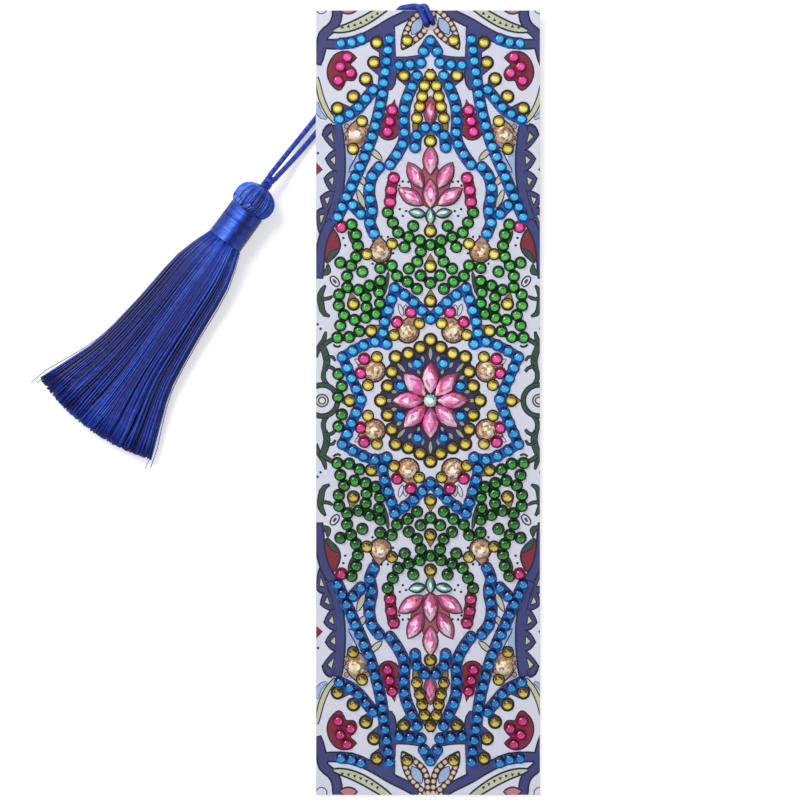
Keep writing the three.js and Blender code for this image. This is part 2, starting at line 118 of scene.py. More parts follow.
def add_camera():
    data = bpy.data.cameras.new("camera_above")
    data.lens = LENS
    data.sensor_width = SENSOR
    camera = placed("camera_above", data)
    height = VIEW_WIDTH * LENS / SENSOR
    camera.location = Vector((*VIEW_MIDDLE, height)) * MM
    bpy.context.scene.camera = camera


add_camera()


# Small helpers for curves and meshes

CURVE_STEPS = 24


def limited(value, low=0.0, high=1.0):
    return max(low, min(high, value))


def angles(count, shift=0.0):
    return [2 * math.pi * (k + shift) / count for k in range(count)]


def round_trip(count):
    return [2 * math.pi * k / count for k in range(count + 1)]


def smooth_path(points, steps):
    """Evenly spaced points on the centripetal Catmull-Rom curve through the given ones."""
    controls = [Vector(p) for p in points]
    padded = [2 * controls[0] - controls[1], *controls, 2 * controls[-1] - controls[-2]]
    fine = []
    for p0, p1, p2, p3 in zip(padded, padded[1:], padded[2:], padded[3:]):
        k0, k1, k2 = (max((b - a).length, 1e-6) ** 0.5 for a, b in ((p0, p1), (p1, p2), (p2, p3)))
        m1 = (p1 - p0) / k0 - (p2 - p0) / (k0 + k1) + (p2 - p1) / k1
        m2 = (p2 - p1) / k1 - (p3 - p1) / (k1 + k2) + (p3 - p2) / k2
        for i in range(CURVE_STEPS):
            t = i / CURVE_STEPS
            h1, h2 = 2 * t**3 - 3 * t**2 + 1, -2 * t**3 + 3 * t**2
            h3, h4 = t**3 - 2 * t**2 + t, t**3 - t**2
            fine.append(h1 * p1 + h2 * p2 + k1 * (h3 * m1 + h4 * m2))
    fine.append(controls[-1])
    reach = [0.0]
    for a, b in zip(fine, fine[1:]):
        reach.append(reach[-1] + (b - a).length)
    wanted = np.linspace(0, reach[-1], steps + 1)
    columns = [np.interp(wanted, reach, [p[i] for p in fine]) for i in range(len(fine[0]))]
    return [Vector(p) for p in zip(*columns)]


def path_length(points):
    return sum((b - a).length for a, b in zip(points, points[1:]))


class Build:
    """Gathers vertices, faces and values of one piece before its mesh is made."""

    def __init__(self):
        self.vertices = []
        self.faces = []
        self.slots = []
        self.values = []
        self.uvs = []

    def ring_tube(self, path, radius, sides, value=0.5, slot=0):
        """A round tube along the path. radius and value may be numbers or one for each point."""
        count = len(path)
        radii = radius if hasattr(radius, "__len__") else [radius] * count
        shades = value if hasattr(value, "__len__") else [value] * count
        first = len(self.vertices)
        ahead = [
            (path[min(i + 1, count - 1)] - path[max(i - 1, 0)]).normalized() for i in range(count)
        ]
        side = ahead[0].orthogonal().normalized()
        along = 0.0
        for i, point in enumerate(path):
            if i:
                side = (side - ahead[i] * side.dot(ahead[i])).normalized()
                along += (point - path[i - 1]).length
            up = ahead[i].cross(side)
            for k, angle in enumerate(angles(sides)):
                offset = side * math.cos(angle) + up * math.sin(angle)
                self.vertices.append(point + offset * radii[i])
                self.values.append(shades[i])
                self.uvs.append((k / sides, along))
        for i in range(count - 1):
            for k in range(sides):
                a = first + i * sides + k
                b = first + i * sides + (k + 1) % sides
                self.faces.append((a, b, b + sides, a + sides))
                self.slots.append(slot)
        last = first + (count - 1) * sides
        self.faces.append(tuple(first + k for k in reversed(range(sides))))
        self.faces.append(tuple(last + k for k in range(sides)))
        self.slots += [slot, slot]

    def finish(self, name, materials, place=CARD_FRAME, smooth=True, value_name="shade", uv=False):
        mesh = bpy.data.meshes.new(name)
        mesh.from_pydata([(place @ Vector(v)) * MM for v in self.vertices], [], self.faces)
        for material in materials:
            mesh.materials.append(material)
        mesh.polygons.foreach_set("material_index", self.slots)
        mesh.polygons.foreach_set("use_smooth", [smooth] * len(self.faces))
        if self.values:
            layer = mesh.attributes.new(value_name, "FLOAT", "POINT")
            layer.data.foreach_set("value", self.values)
        if uv:
            layer = mesh.uv_layers.new(name="along_thread")
            corners = [vertex for face in self.faces for vertex in face]
            flat = [number for vertex in corners for number in self.uvs[vertex]]
            layer.data.foreach_set("uv", flat)
        mesh.update()
        return placed(name, mesh)


def dress(piece, body, node):
    """The piece moves with a body and stands for a node of the frame."""
    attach(piece, body)
    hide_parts(node)


# Node helpers


def paint(code):
    """The linear colour of a #rrggbb code."""
    parts = [int(code[i : i + 2], 16) / 255 for i in (1, 3, 5)]
    return (*(p / 12.92 if p <= 0.04045 else ((p + 0.055) / 1.055) ** 2.4 for p in parts), 1.0)


def new_group(name, inputs, outputs):
    group = bpy.data.node_groups.new(name, "ShaderNodeTree")
    for socket, value in inputs.items():
        made = group.interface.new_socket(socket, in_out="INPUT", socket_type="NodeSocketFloat")
        made.default_value = value
    for socket in outputs:
        group.interface.new_socket(socket, in_out="OUTPUT", socket_type="NodeSocketFloat")
    return group, group.nodes.new("NodeGroupInput"), group.nodes.new("NodeGroupOutput")


def add(tree, kind, links=(), **settings):
    """A node with its settings; links pairs each input with a source socket or a value."""
    node = tree.nodes.new(kind)
    for key, value in settings.items():
        setattr(node, key, value)
    for socket, source in links:
        if isinstance(source, bpy.types.NodeSocket):
            tree.links.new(source, node.inputs[socket])
        else:
            node.inputs[socket].default_value = source
    return node


def math_of(tree, operation, *values):
    return add(tree, "ShaderNodeMath", enumerate(values), operation=operation).outputs[0]


def noise_of(tree, scale, detail):
    where = add(tree, "ShaderNodeTexCoord").outputs["Object"]
    links = [("Vector", where), ("Scale", scale), ("Detail", detail)]
    return add(tree, "ShaderNodeTexNoise", links).outputs["Fac"]


def put_out(group, made, **results):
    for name, source in results.items():
        group.links.new(source, made.inputs[name])
    return group


def grain_group():
    """Fine pebbled grain of imitation leather: its height, and a broad mottling."""
    sockets = {"Scale": 900.0, "Mottle": 60.0}
    group, given, made = new_group("pebbled_grain", sockets, ("Height", "Mottling"))
    scale = given.outputs["Scale"]
    where = add(group, "ShaderNodeTexCoord").outputs["Object"]
    links = [("Vector", where), ("Scale", scale)]
    cells = add(group, "ShaderNodeTexVoronoi", links, feature="SMOOTH_F1").outputs["Distance"]
    height = math_of(group, "MULTIPLY_ADD", cells, 0.7, noise_of(group, scale, 4.0))
    mottling = noise_of(group, given.outputs["Mottle"], 6.0)
    return put_out(group, made, Height=height, Mottling=mottling)


def thread_group():
    """Height of fine threads laid crosswise round a tube, from its along_thread map."""
    group, given, made = new_group("laid_threads", {"Turns": 6.0, "Pitch": 0.35}, ("Height",))
    uv = add(group, "ShaderNodeUVMap", uv_map="along_thread").outputs["UV"]
    parts = add(group, "ShaderNodeSeparateXYZ", [("Vector", uv)]).outputs
    across = math_of(group, "MULTIPLY", parts["X"], given.outputs["Turns"])
    along = math_of(group, "DIVIDE", parts["Y"], given.outputs["Pitch"])
    waves = []
    for operation in ("ADD", "SUBTRACT"):
        total = math_of(group, operation, across, along)
        waves.append(math_of(group, "SINE", math_of(group, "MULTIPLY", total, 2 * math.pi)))
    return put_out(group, made, Height=math_of(group, "MAXIMUM", *waves))


def uneven_group():
    """A tone made uneven by cloudy noise, and the noise itself."""
    sockets = {"Tone": 0.5, "Scale": 500.0, "Spread": 0.3}
    group, given, made = new_group("uneven_tone", sockets, ("Tone", "Noise"))
    noise = noise_of(group, given.outputs["Scale"], 3.0)
    centred = math_of(group, "SUBTRACT", noise, 0.5)
    tone = math_of(group, "MULTIPLY_ADD", centred, given.outputs["Spread"], given.outputs["Tone"])
    return put_out(group, made, Tone=tone, Noise=noise)


GRAIN = grain_group()
THREADS = thread_group()
UNEVEN = uneven_group()


def new_material(name, **sockets):
    material = bpy.data.materials.new(name)
    material.use_nodes = True
    tree = material.node_tree
    shader = tree.nodes["Principled BSDF"]
    for socket, value in sockets.items():
        shader.inputs[socket.replace("_", " ")].default_value = value
    return material, tree, shader


def colour_between(tree, factor, low, high):
    """A colour from low to high; either may be a colour or another node's socket."""
    links = [("Factor", factor), (6, low), (7, high)]
    return add(tree, "ShaderNodeMix", links, data_type="RGBA").outputs[2]


def shade_of(code, factor):
    return (*(min(1.0, part * factor) for part in paint(code)[:3]), 1.0)


def ramp_of(tree, factor, stops):
    ramp = add(tree, "ShaderNodeValToRGB", [("Fac", factor)])
    elements = ramp.color_ramp.elements
    for i, (place, code) in enumerate(stops):
        element = elements[i] if i < 2 else elements.new(place)
        element.position = place
        element.color = paint(code)
    return ramp.outputs["Color"]


def uneven_tone(tree, value_name, scale, spread):
    """The piece's own value on each vertex or facet, made slightly uneven."""
    value = add(tree, "ShaderNodeAttribute", attribute_name=value_name)
    links = [("Tone", value.outputs["Fac"]), ("Scale", scale), ("Spread", spread)]
    return add(tree, "ShaderNodeGroup", links, node_tree=UNEVEN)


def add_bump(tree, shader, height, depth, strength):
    links = [("Height", height), ("Distance", depth), ("Strength", strength)]
    bump = add(tree, "ShaderNodeBump", links)
    tree.links.new(bump.outputs["Normal"], shader.inputs["Normal"])


# Depths of grain and of single threads, in metres
GRAIN_DEPTH = 0.00006
THREAD_DEPTH = 0.00004
CORD_THREAD_DEPTH = 0.00005


def leather(name, low, high, grain_scale=1100.0, roughness=0.55, coat=0.04):
    """Imitation leather, plain or printed: pebbled grain and a colour mottled between two."""
    material, tree, shader = new_material(
        name, Roughness=roughness, Specular_IOR_Level=0.3, Coat_Weight=coat, Coat_Roughness=0.3
    )
    links = [("Scale", grain_scale), ("Mottle", 260.0)]
    grain = add(tree, "ShaderNodeGroup", links, node_tree=GRAIN).outputs
    colour = colour_between(tree, grain["Mottling"], low, high)
    tree.links.new(colour, shader.inputs["Base Color"])
    add_bump(tree, shader, grain["Height"], GRAIN_DEPTH, 0.6)
    return material


GLINT_SHARE = 0.26


def stone(name, stops, roughness=0.12, glints=None):
    """Cut resin or crystal: its colour, with the light and shade painted into it, follows the value
    named tone on each facet.
    """
    material, tree, shader = new_material(
        name, Roughness=roughness, Coat_Weight=0.5, Coat_Roughness=0.05
    )
    uneven = uneven_tone(tree, "tone", 420.0, 0.14)
    colour = ramp_of(tree, uneven.outputs["Tone"], stops)
    if glints:
        stops = [(0.3 + 0.13 * i, code) for i, code in enumerate(glints)]
        sheen = ramp_of(tree, uneven.outputs["Noise"], stops)
        colour = colour_between(tree, GLINT_SHARE, colour, sheen)
    tree.links.new(colour, shader.inputs["Base Color"])
    return material


def silk(name, stops, roughness=0.42, laid=False):
    """Silky blue thread, single or laid into a cord: its value named shade picks the colour, with
    the light and shade painted into it.
    """
    material, tree, shader = new_material(
        name,
        Roughness=roughness,
        Sheen_Weight=0.05,
        Sheen_Roughness=0.35,
        Sheen_Tint=paint("#9fb2ff"),
    )
    uneven = uneven_tone(tree, "shade", 700.0, 0.5)
    tree.links.new(ramp_of(tree, uneven.outputs["Tone"], stops), shader.inputs["Base Color"])
    height = uneven.outputs["Noise"]
    if laid:
        height = add(tree, "ShaderNodeGroup", node_tree=THREADS).outputs["Height"]
    add_bump(tree, shader, height, CORD_THREAD_DEPTH if laid else THREAD_DEPTH, 0.7)
    return material


BLUE_SILK = (
    (0.0, "#040838"), (0.25, "#0a186c"), (0.5, "#1638ac"), (0.75, "#2c60da"), (1.0, "#74a0ff")
)
satin_cord = silk("satin_cord", BLUE_SILK, laid=True)
tassel_thread = silk("tassel_thread", BLUE_SILK)
# The core under the head's threads is painted dark, a painted shade between the threads
shaded_tassel_core = silk(
    "shaded_tassel_core", ((0.0, "#040828"), (0.5, "#0b1254"), (1.0, "#182684")), roughness=0.7
)

DRILL_STOPS = (0.0, 0.2, 0.5, 0.8, 1.0)
DRILL_COLOURS = {
    "blue": ("#03133a", "#063e8c", "#1280cc", "#30bcf0", "#80e8ff"),
    "green": ("#031804", "#0a440e", "#228a28", "#54ca50", "#a0f090"),
    "yellow": ("#241c02", "#66540a", "#c4a43c", "#f0dc40", "#fff88c"),
    "magenta": ("#300212", "#8a0c44", "#d02c7c", "#f850b0", "#ff8cd2"),
}
drill_materials = {
    name: stone(f"resin_{name}", list(zip(DRILL_STOPS, codes)))
    for name, codes in DRILL_COLOURS.items()
}
pink_crystal = stone(
    "crystal_pink",
    (
        (0.0, "#4e1024"),
        (0.16, "#a02248"),
        (0.32, "#dc4078"),
        (0.5, "#f674b4"),
        (0.64, "#ffb0dc"),
        (0.78, "#ffe6f4"),
        (1.0, "#ffffff"),
    ),
    roughness=0.06,
    glints=("#ff6a48", "#ff8ac0", "#d49cff", "#ffdcb0"),
)
champagne_crystal = stone(
    "crystal_champagne",
    (
        (0.0, "#50301a"), (0.2, "#946038"), (0.42, "#d2a068"), (0.62, "#f4dcac"), (0.8, "#fff6da"),
        (1.0, "#ffffff"),
    ),
    roughness=0.06,
    glints=("#d88850", "#f0c090", "#fff0c8"),
)
aqua_crystal = stone(
    "crystal_aqua",
    ((0.0, "#0c4046"), (0.14, "#48a49e"), (0.32, "#ace8dc"), (0.55, "#d4fff4"), (1.0, "#f6ffff")),
    roughness=0.06,
)


# Cord: the two strands that lie free between the card and the tassel

CORD_SIDES = 16
LEFT_STRAND = [
    (-9.9, 102.6), (-14.5, 96.6), (-20.1, 89.4), (-25.4, 82.4), (-30, 76.5), (-34.4, 70.9),
    (-38.6, 65.5), (-41.2, 62), (-42.3, 60.5), (-42.5, 59.7),
]
RIGHT_STRAND = [
    (-8.5, 101.5), (-12.9, 95.4), (-18.3, 88), (-24.2, 80.2), (-30, 72.5), (-34, 67.6),
    (-37.8, 63.2), (-40, 60.7), (-41, 59.5), (-41.8, 59.2),
]
# Both strands lie on the table and rise to the knot over their last points
STRAND_HEIGHTS = [CORD_HEIGHT] * 5
STRAND_HEIGHTS += [CORD_HEIGHT + 0.6, CORD_HEIGHT + 2, KNOT_HEIGHT - 0.3, KNOT_HEIGHT, KNOT_HEIGHT]
STRAND_STEPS = 90
# A strand's start is rounded off: by what share, and over how many steps
START_ROUND = 0.6
START_STEPS = 2


def satin_tones(count, middle, swing):
    """Tones along a cord, as its threads turn in and out of the light."""
    return [middle + swing * math.sin(i * 1.9) for i in range(count)]


def add_strand(name, points):
    path = smooth_path([(*p, height) for p, height in zip(points, STRAND_HEIGHTS)], STRAND_STEPS)
    build = Build()
    radii = [
        STRAND_DIAMETER / 2 * (1 - START_ROUND * max(0.0, 1 - i / START_STEPS) ** 2)
        for i in range(len(path))
    ]
    build.ring_tube(path, radii, CORD_SIDES, value=satin_tones(len(path), 0.5, 0.1))
    piece = build.finish(name + "_satin", [satin_cord], TABLE_FRAME, uv=True)
    dress(piece, "cord", name)


add_strand("cord_strand_left", LEFT_STRAND)
add_strand("cord_strand_right", RIGHT_STRAND)


# The hitch's two turns through the hole, and the button behind the card

BUTTON = (-7.8, 103.9)
BUTTON_REACH = 1.05
BUTTON_STEP = 0.28
TURN_STEPS = 110
HOLE_SHADE = 0.5
UNDER_CARD = -(CORD_DIAMETER / 2 + CORD_GAP)
OVER_CARD = FACE_TOP + FILM_THICKNESS + CORD_DIAMETER / 2 + CORD_GAP
RIGHT_TURN = [
    (-6.9, 103.4, UNDER_CARD), (-5, 103.9, UNDER_CARD), (-2.9, 103.9, UNDER_CARD),
    (-0.8, 103.4, UNDER_CARD - 0.05), (0.5, 102.7, UNDER_CARD), (1.2, 101.9, UNDER_CARD + 0.6),
    (1.28, 101.7, UNDER_CARD + 1.6), (1.12, 102, OVER_CARD - 0.5), (0.5, 103.3, OVER_CARD),
    (-0.1, 104.6, OVER_CARD), (-0.65, 105.75, OVER_CARD - 0.4), (-1.05, 106.1, OVER_CARD - 1.4),
    (-1.75, 106.15, OVER_CARD - 2.3), (-2.9, 105.95, UNDER_CARD + 0.2), (-4.6, 105.7, UNDER_CARD),
    (-6.4, 105.4, UNDER_CARD), (-7.8, 104.8, UNDER_CARD),
]
LEFT_TURN = [
    (-7.3, 102.6, UNDER_CARD), (-5, 102.4, UNDER_CARD), (-2.6, 102.3, UNDER_CARD),
    (-1.3, 101.95, UNDER_CARD - 0.05), (-0.5, 101.5, UNDER_CARD + 0.45),
    (-0.24, 101.2, UNDER_CARD + 1.5), (-0.42, 101.4, OVER_CARD - 0.5), (-1, 102.5, OVER_CARD),
    (-1.9, 104.4, OVER_CARD), (-2.45, 105.45, OVER_CARD - 0.15), (-3.1, 105.95, OVER_CARD - 0.8),
    (-4.2, 106.05, OVER_CARD - 1.3), (-5.4, 106, OVER_CARD - 2), (-6.5, 105.95, UNDER_CARD + 0.5),
    (-7.4, 105.7, UNDER_CARD + 0.05), (-8, 105, UNDER_CARD),
]


def depth_in_hole(point):
    """How deep a point of the hitch lies in the hole's shade, from 0 to 1."""
    return limited((OVER_CARD - 0.1 - point.z) / 0.7) * (point.y < 103)


def add_hitch():
    build = Build()
    for points in (RIGHT_TURN, LEFT_TURN):
        path = smooth_path(points, TURN_STEPS)
        tones = satin_tones(len(path), 0.46, 0.12)
        tones = [tone - HOLE_SHADE * depth_in_hole(point) for tone, point in zip(tones, path)]
        build.ring_tube(path, CORD_DIAMETER / 2, CORD_SIDES, value=tones)
    for turn in range(3):
        reach = BUTTON_REACH - BUTTON_STEP * turn
        loop = []
        for angle in round_trip(32):
            height = UNDER_CARD + 0.12 * math.sin(2 * angle + turn)
            x, y = BUTTON[0] + reach * math.cos(angle), BUTTON[1] + reach * math.sin(angle)
            loop.append(Vector((x, y, height)))
        build.ring_tube(loop, CORD_DIAMETER / 2, 14, value=0.5)
    piece = build.finish("hitch_turns", [satin_cord], uv=True)
    dress(piece, "card", "cord_hitch")


add_hitch()


# Stones: every drill's middle is read from the card, its colour from the line that it stands in.
# The ornament's places are in one quadrant, in millimetres from the pattern's middle.

BLUE_LINES = [
    [(11, 96.6), (12.2, 87.2), (13.6, 78), (16.4, 68.4), (20.4, 59), (24.8, 49.1)],
    [(24.3, 75.3), (20.2, 77.6), (15.3, 83.1)],
    [(23.9, 95.5), (21.1, 95.8), (18.5, 96.7)],
    [(8.4, 89.7), (5.3, 89.9), (2.6, 90.4)],
    [(1.8, 93.4), (0, 96.2)],
    [(3.6, 86.9), (5, 83.8), (6.7, 79.4), (7.1, 74.7), (7, 70), (8.6, 66.4), (10.8, 63.2)],
    [(13.7, 62.5), (15.6, 60), (16.4, 55.8), (15.6, 51), (16.2, 47.6), (15.1, 44.7)],
    [(20.8, 52.3), (18.6, 50)],
    [(1.4, 73), (3.7, 70.8), (4.1, 67.8)],
    [(0, 21.9), (4.6, 26.5), (9.5, 30.1)],
    [(9.5, 30.1), (11.3, 24.3), (12.7, 18.2), (11.7, 15.2)],
    [(11.7, 15.2), (15, 15.8), (20.6, 13.4), (23.5, 11.6)],
    [(23.5, 11.6), (18.6, 0.4)],
]
# The blue lines that stay nearer the middle than this belong to the star
STAR_REACH = 31
BLUE_SPOTS = [(3.5, 9.9), (8, 4)]
GREEN_LINES = [
    [(11.4, 50.3), (10.1, 47.6), (8.9, 45.1), (5.9, 43.7), (2.9, 42.8), (0, 41.6)],
    [(2.9, 42.8), (2.6, 39.4), (3.6, 37), (5.8, 35.2)],
    [(2.6, 33.4), (0, 31.4)],
    [(3.6, 29.8), (5.9, 31.6), (8.9, 33.2), (10.5, 36.1), (13.4, 35.4)],
    [(21.1, 47), (19.9, 44.2), (19.4, 41.2), (19.9, 38.4), (20.9, 36.1), (24.1, 36.8)],
    [(22.3, 33.2), (22.3, 30.1), (24.4, 28.3), (24.6, 25.7), (23.1, 22.8), (24.1, 20)],
    [(22.3, 30.1), (19.5, 29.5), (16.5, 30.6), (13.4, 31.9)],
    [(13.4, 31.9), (13.7, 29.1), (13.4, 26.4), (14.6, 23.1), (17.5, 22.1), (20.3, 21.5)],
    [(17.3, 27.6), (17.1, 24.9)],
    [(19, 18.5), (21.9, 16.9), (24.9, 16.8)],
]
GREEN_SPOTS = [(4.6, 46.6), (6.9, 41), (18.2, 34.4), (24.6, 7), (23.7, 3.8), (24.7, 0.9)]
YELLOW_SPOTS = [
    (6.2, 96.3), (14.3, 95.7), (15.1, 90.4), (17.3, 86), (20.6, 81.3), (24.8, 78.1), (7.1, 86.9),
    (0, 87), (1.6, 84.2), (2.2, 81.3), (2.8, 78.6), (3.6, 75.5), (0, 69.4), (18.3, 74.7),
    (20.7, 67.3), (0, 45.3), (0, 35.9), (0, 26.6), (10.3, 41.9), (17, 39.1), (20.6, 25.8),
    (15.8, 18.6), (3, 20.6), (9.7, 17.5), (14.3, 11.6), (16.7, 4.1), (21.6, 0), (0, 16.2),
    (2.7, 14.1), (5.9, 12.5), (9.3, 11.6), (10.3, 7.7), (11.4, 3.8), (13.2, 0),
]
# The last yellow spots stand round the rosette
RING_SPOTS = 7
MAGENTA_SPOTS = [
    (22.3, 91.8), (24.1, 89.3), (21.4, 87.6), (24.6, 85.6), (10.2, 77.6), (10.9, 74.7),
    (11.5, 71.9), (9.8, 59.4), (10.5, 56.2), (10.8, 53.1), (23.8, 46.4), (5.2, 23.6),
    (8.9, 20.9), (17.7, 11.1), (18.65, 7.3),
]


def distance_to_line(point, line):
    least = (point - line[0]).length
    for a, b in zip(line, line[1:]):
        share = limited((point - a).dot(b - a) / (b - a).length_squared)
        least = min(least, (point - a.lerp(b, share)).length)
    return least


def drill_places():
    """The stones' middles: the film's highest points, with their colours."""
    lines = {
        name: [[Vector(spot)] for spot in spots] + [smooth_path(curve, 14) for curve in curves]
        for name, spots, curves in (
            ("blue", BLUE_SPOTS, BLUE_LINES),
            ("green", GREEN_SPOTS, GREEN_LINES),
            ("yellow", YELLOW_SPOTS, []),
            ("magenta", MAGENTA_SPOTS, []),
        )
    }
    found = {}
    for vertex in frame["nodes"]["drilled_film"].data.vertices:
        x, y, z = vertex.co / MM
        if abs(z - STONE_TIP) < 0.01:
            folded = Vector((abs(x - PATTERN.x), abs(y - PATTERN.y)))
            nearest = {
                name: min(distance_to_line(folded, line) for line in lines[name]) for name in lines
            }
            found[(round(x, 2), round(y, 2))] = min(nearest, key=nearest.get)
    return found


# A drill is a low round stone with a rim, a crown and a table. Its light and shade are painted
# into its tones: the light that enters at its upper side leaves at its lower side, so the upper
# part of the crown is painted deep, a painted shade, and the rest is painted to glow. DRILL_SHAPE
# gives the radius and height of its rings, and DRILL_PAINTED_TONES their painted tones at the
# lower, lit side and at the upper, shaded side.
DRILL_SIDES = 12
DRILL_SHAPE = (
    (1.3, 0.0), (1.3, 0.4), (1.14, 0.8), (0.94, 1.08), (0.66, 1.2), (0.36, 1.23), (0.14, 1.25)
)
DRILL_RISE = (STONE_TIP - FACE_TOP) / DRILL_SHAPE[-1][1]
# Towards the card's foot the stones are painted deeper, a painted shade: where that starts, and
# over what length
FOOT_SHADE_START = 10
FOOT_SHADE_LENGTH = 45
# The first ring of the table, which is painted darker as a whole there, and by how much
TABLE_RING = 4
TABLE_FOOT_SHADE = 0.3
TONE_PLAY = 0.07
DRILL_PAINTED_TONES = {
    "blue": ((0.1, 0.24, 0.5, 0.78, 0.82, 0.7, 0.9), (0.03, 0.04, 0.04, 0.12, 0.68, 0.76, 0.9)),
    "green": ((0.04, 0.1, 0.3, 0.66, 0.78, 0.62, 0.9), (0.01, 0.03, 0.08, 0.4, 0.66, 0.4, 0.6)),
    "yellow": ((0.26, 0.6, 0.7, 0.84, 0.94, 0.86, 0.9), (0.3, 0.55, 0.44, 0.08, 0.42, 0.76, 0.9)),
    "magenta": ((0.15, 0.36, 0.62, 0.76, 0.8, 0.74, 0.85), (0.03, 0.06, 0.1, 0.4, 0.72, 0.7, 0.85)),
}


def add_drills(places, draw):
    for name, (lower, upper) in DRILL_PAINTED_TONES.items():
        build = Build()
        for x, y in sorted(place for place, colour in places.items() if colour == name):
            first = len(build.vertices)
            turn = draw.uniform(0, 1)
            own_tone = draw.uniform(-TONE_PLAY, TONE_PLAY)
            # Painted shade, deeper towards the card's foot
            foot = limited((FOOT_SHADE_START - y) / FOOT_SHADE_LENGTH)
            for ring, (radius, height) in enumerate(DRILL_SHAPE):
                for angle in angles(DRILL_SIDES, turn):
                    x_out, y_out = radius * math.cos(angle), radius * math.sin(angle)
                    middle = Vector((x, y, FACE_TOP + height * DRILL_RISE))
                    build.vertices.append(middle + Vector((x_out, y_out, 0)))
                    # Share of painted shade: the stone's upper side is painted deep, its lower side
                    # painted to glow
                    depth = limited(1.5 * math.sin(angle) - 0.1 + 0.7 * foot)
                    tone = lower[ring] + (upper[ring] - lower[ring]) * depth + own_tone
                    foot_shading = 0.12 + 0.12 * math.sin(angle) if ring < TABLE_RING else TABLE_FOOT_SHADE
                    tone -= foot_shading * foot
                    build.values.append(tone + draw.uniform(-TONE_PLAY, TONE_PLAY))
            last = first + (len(DRILL_SHAPE) - 1) * DRILL_SIDES
            for ring_start in range(first, last, DRILL_SIDES):
                for k in range(DRILL_SIDES):
                    a, b = ring_start + k, ring_start + (k + 1) % DRILL_SIDES
                    build.faces.append((a, b, b + DRILL_SIDES, a + DRILL_SIDES))
            build.faces.append(tuple(last + k for k in range(DRILL_SIDES)))
            build.faces.append(tuple(first + k for k in reversed(range(DRILL_SIDES))))
        material = drill_materials[name]
        piece = build.finish(f"drills_{name}", [material], smooth=False, value_name="tone")
        dress(piece, "card", "drilled_film")


drill_colours = drill_places()
add_drills(drill_colours, random.Random(5))


# Crystals: each stands where the card carries its CAD stone, with the same outline

# How far each kind leans from the card's length, in degrees, and their lengths and widths
LEANS = {
    "arch_petal": 0,
    "lotus_top_petal": 0,
    "lotus_upper_petal": 29,
    "lotus_side_petal": 56,
    "lotus_heart_petal": 0,
    "lotus_side_sepal": 80,
    "lotus_foot_sepal": 0,
}
PETAL_SIZES = {"rosette": (8, 4.2), "arch": (6, 2.8), "lotus": (7.4, 3.4), "sepal": (4, 1.9)}


def crystal_facts(name):
    """Middle, length and width, turn and colour of a crystal, from its name and its place."""
    low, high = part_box(name)
    middle = (low + high) / 2 / MM
    right = 1 if middle.x > PATTERN.x else -1
    head = 1 if middle.y > PATTERN.y else -1
    if name.startswith("rosette_petal"):
        turn = -math.radians(45 * (int(name.rsplit("_", 1)[1]) - 1))
        return middle, PETAL_SIZES["rosette"], turn, "pink_crystal"
    for kind, lean in LEANS.items():
        if name.startswith(kind):
            size = PETAL_SIZES["sepal" if "sepal" in kind else kind.split("_")[0]]
            slot = "aqua_crystal" if "sepal" in kind else "pink_crystal"
            return middle, size, -right * head * math.radians(lean), slot
    diameter = (high.x - low.x) / MM
    slot = "aqua_crystal" if name == "centre_crystal" else "champagne_crystal"
    return middle, (diameter, diameter), 0.0, slot


CRYSTAL_MATERIALS = {
    "pink_crystal": pink_crystal,
    "champagne_crystal": champagne_crystal,
    "aqua_crystal": aqua_crystal,
}
# Rings of a cut stone: share of the outline, share of the height, half a step turned or not
CUT_RINGS = ((1.0, 0.0, 0), (1.0, 0.28, 0), (0.7, 0.72, 1), (0.42, 1.0, 0))
CUT_SIDES = 12
# Painted light and shade of the crystals: facets towards LIGHT_SIDE are painted lighter, the rim's
# side facets get a painted shade and the table a painted highlight
LIGHT_SIDE = Vector((-0.6, -0.8))
LIGHT_PLAY = 0.42
RIM_PAINTED_SHADE = -0.25
TABLE_PAINTED_HIGHLIGHT = 0.18
ARCH_PETAL_TONE = -0.18
# Facets that share a painted flash of reflected light, and how far the painted flashes differ
FACET_PLAY = {"champagne_crystal": (1, 0.6), "pink_crystal": (2, 0.36), "aqua_crystal": (2, 0.16)}


def cut_outline(angle, length, width):
    """A point of the girdle: round, or drawn in to two points where it is longer than wide."""
    x, y = math.cos(angle), math.sin(angle)
    across = x * abs(x) if length > width * 1.05 else x
    return Vector((across * width / 2, y * length / 2))


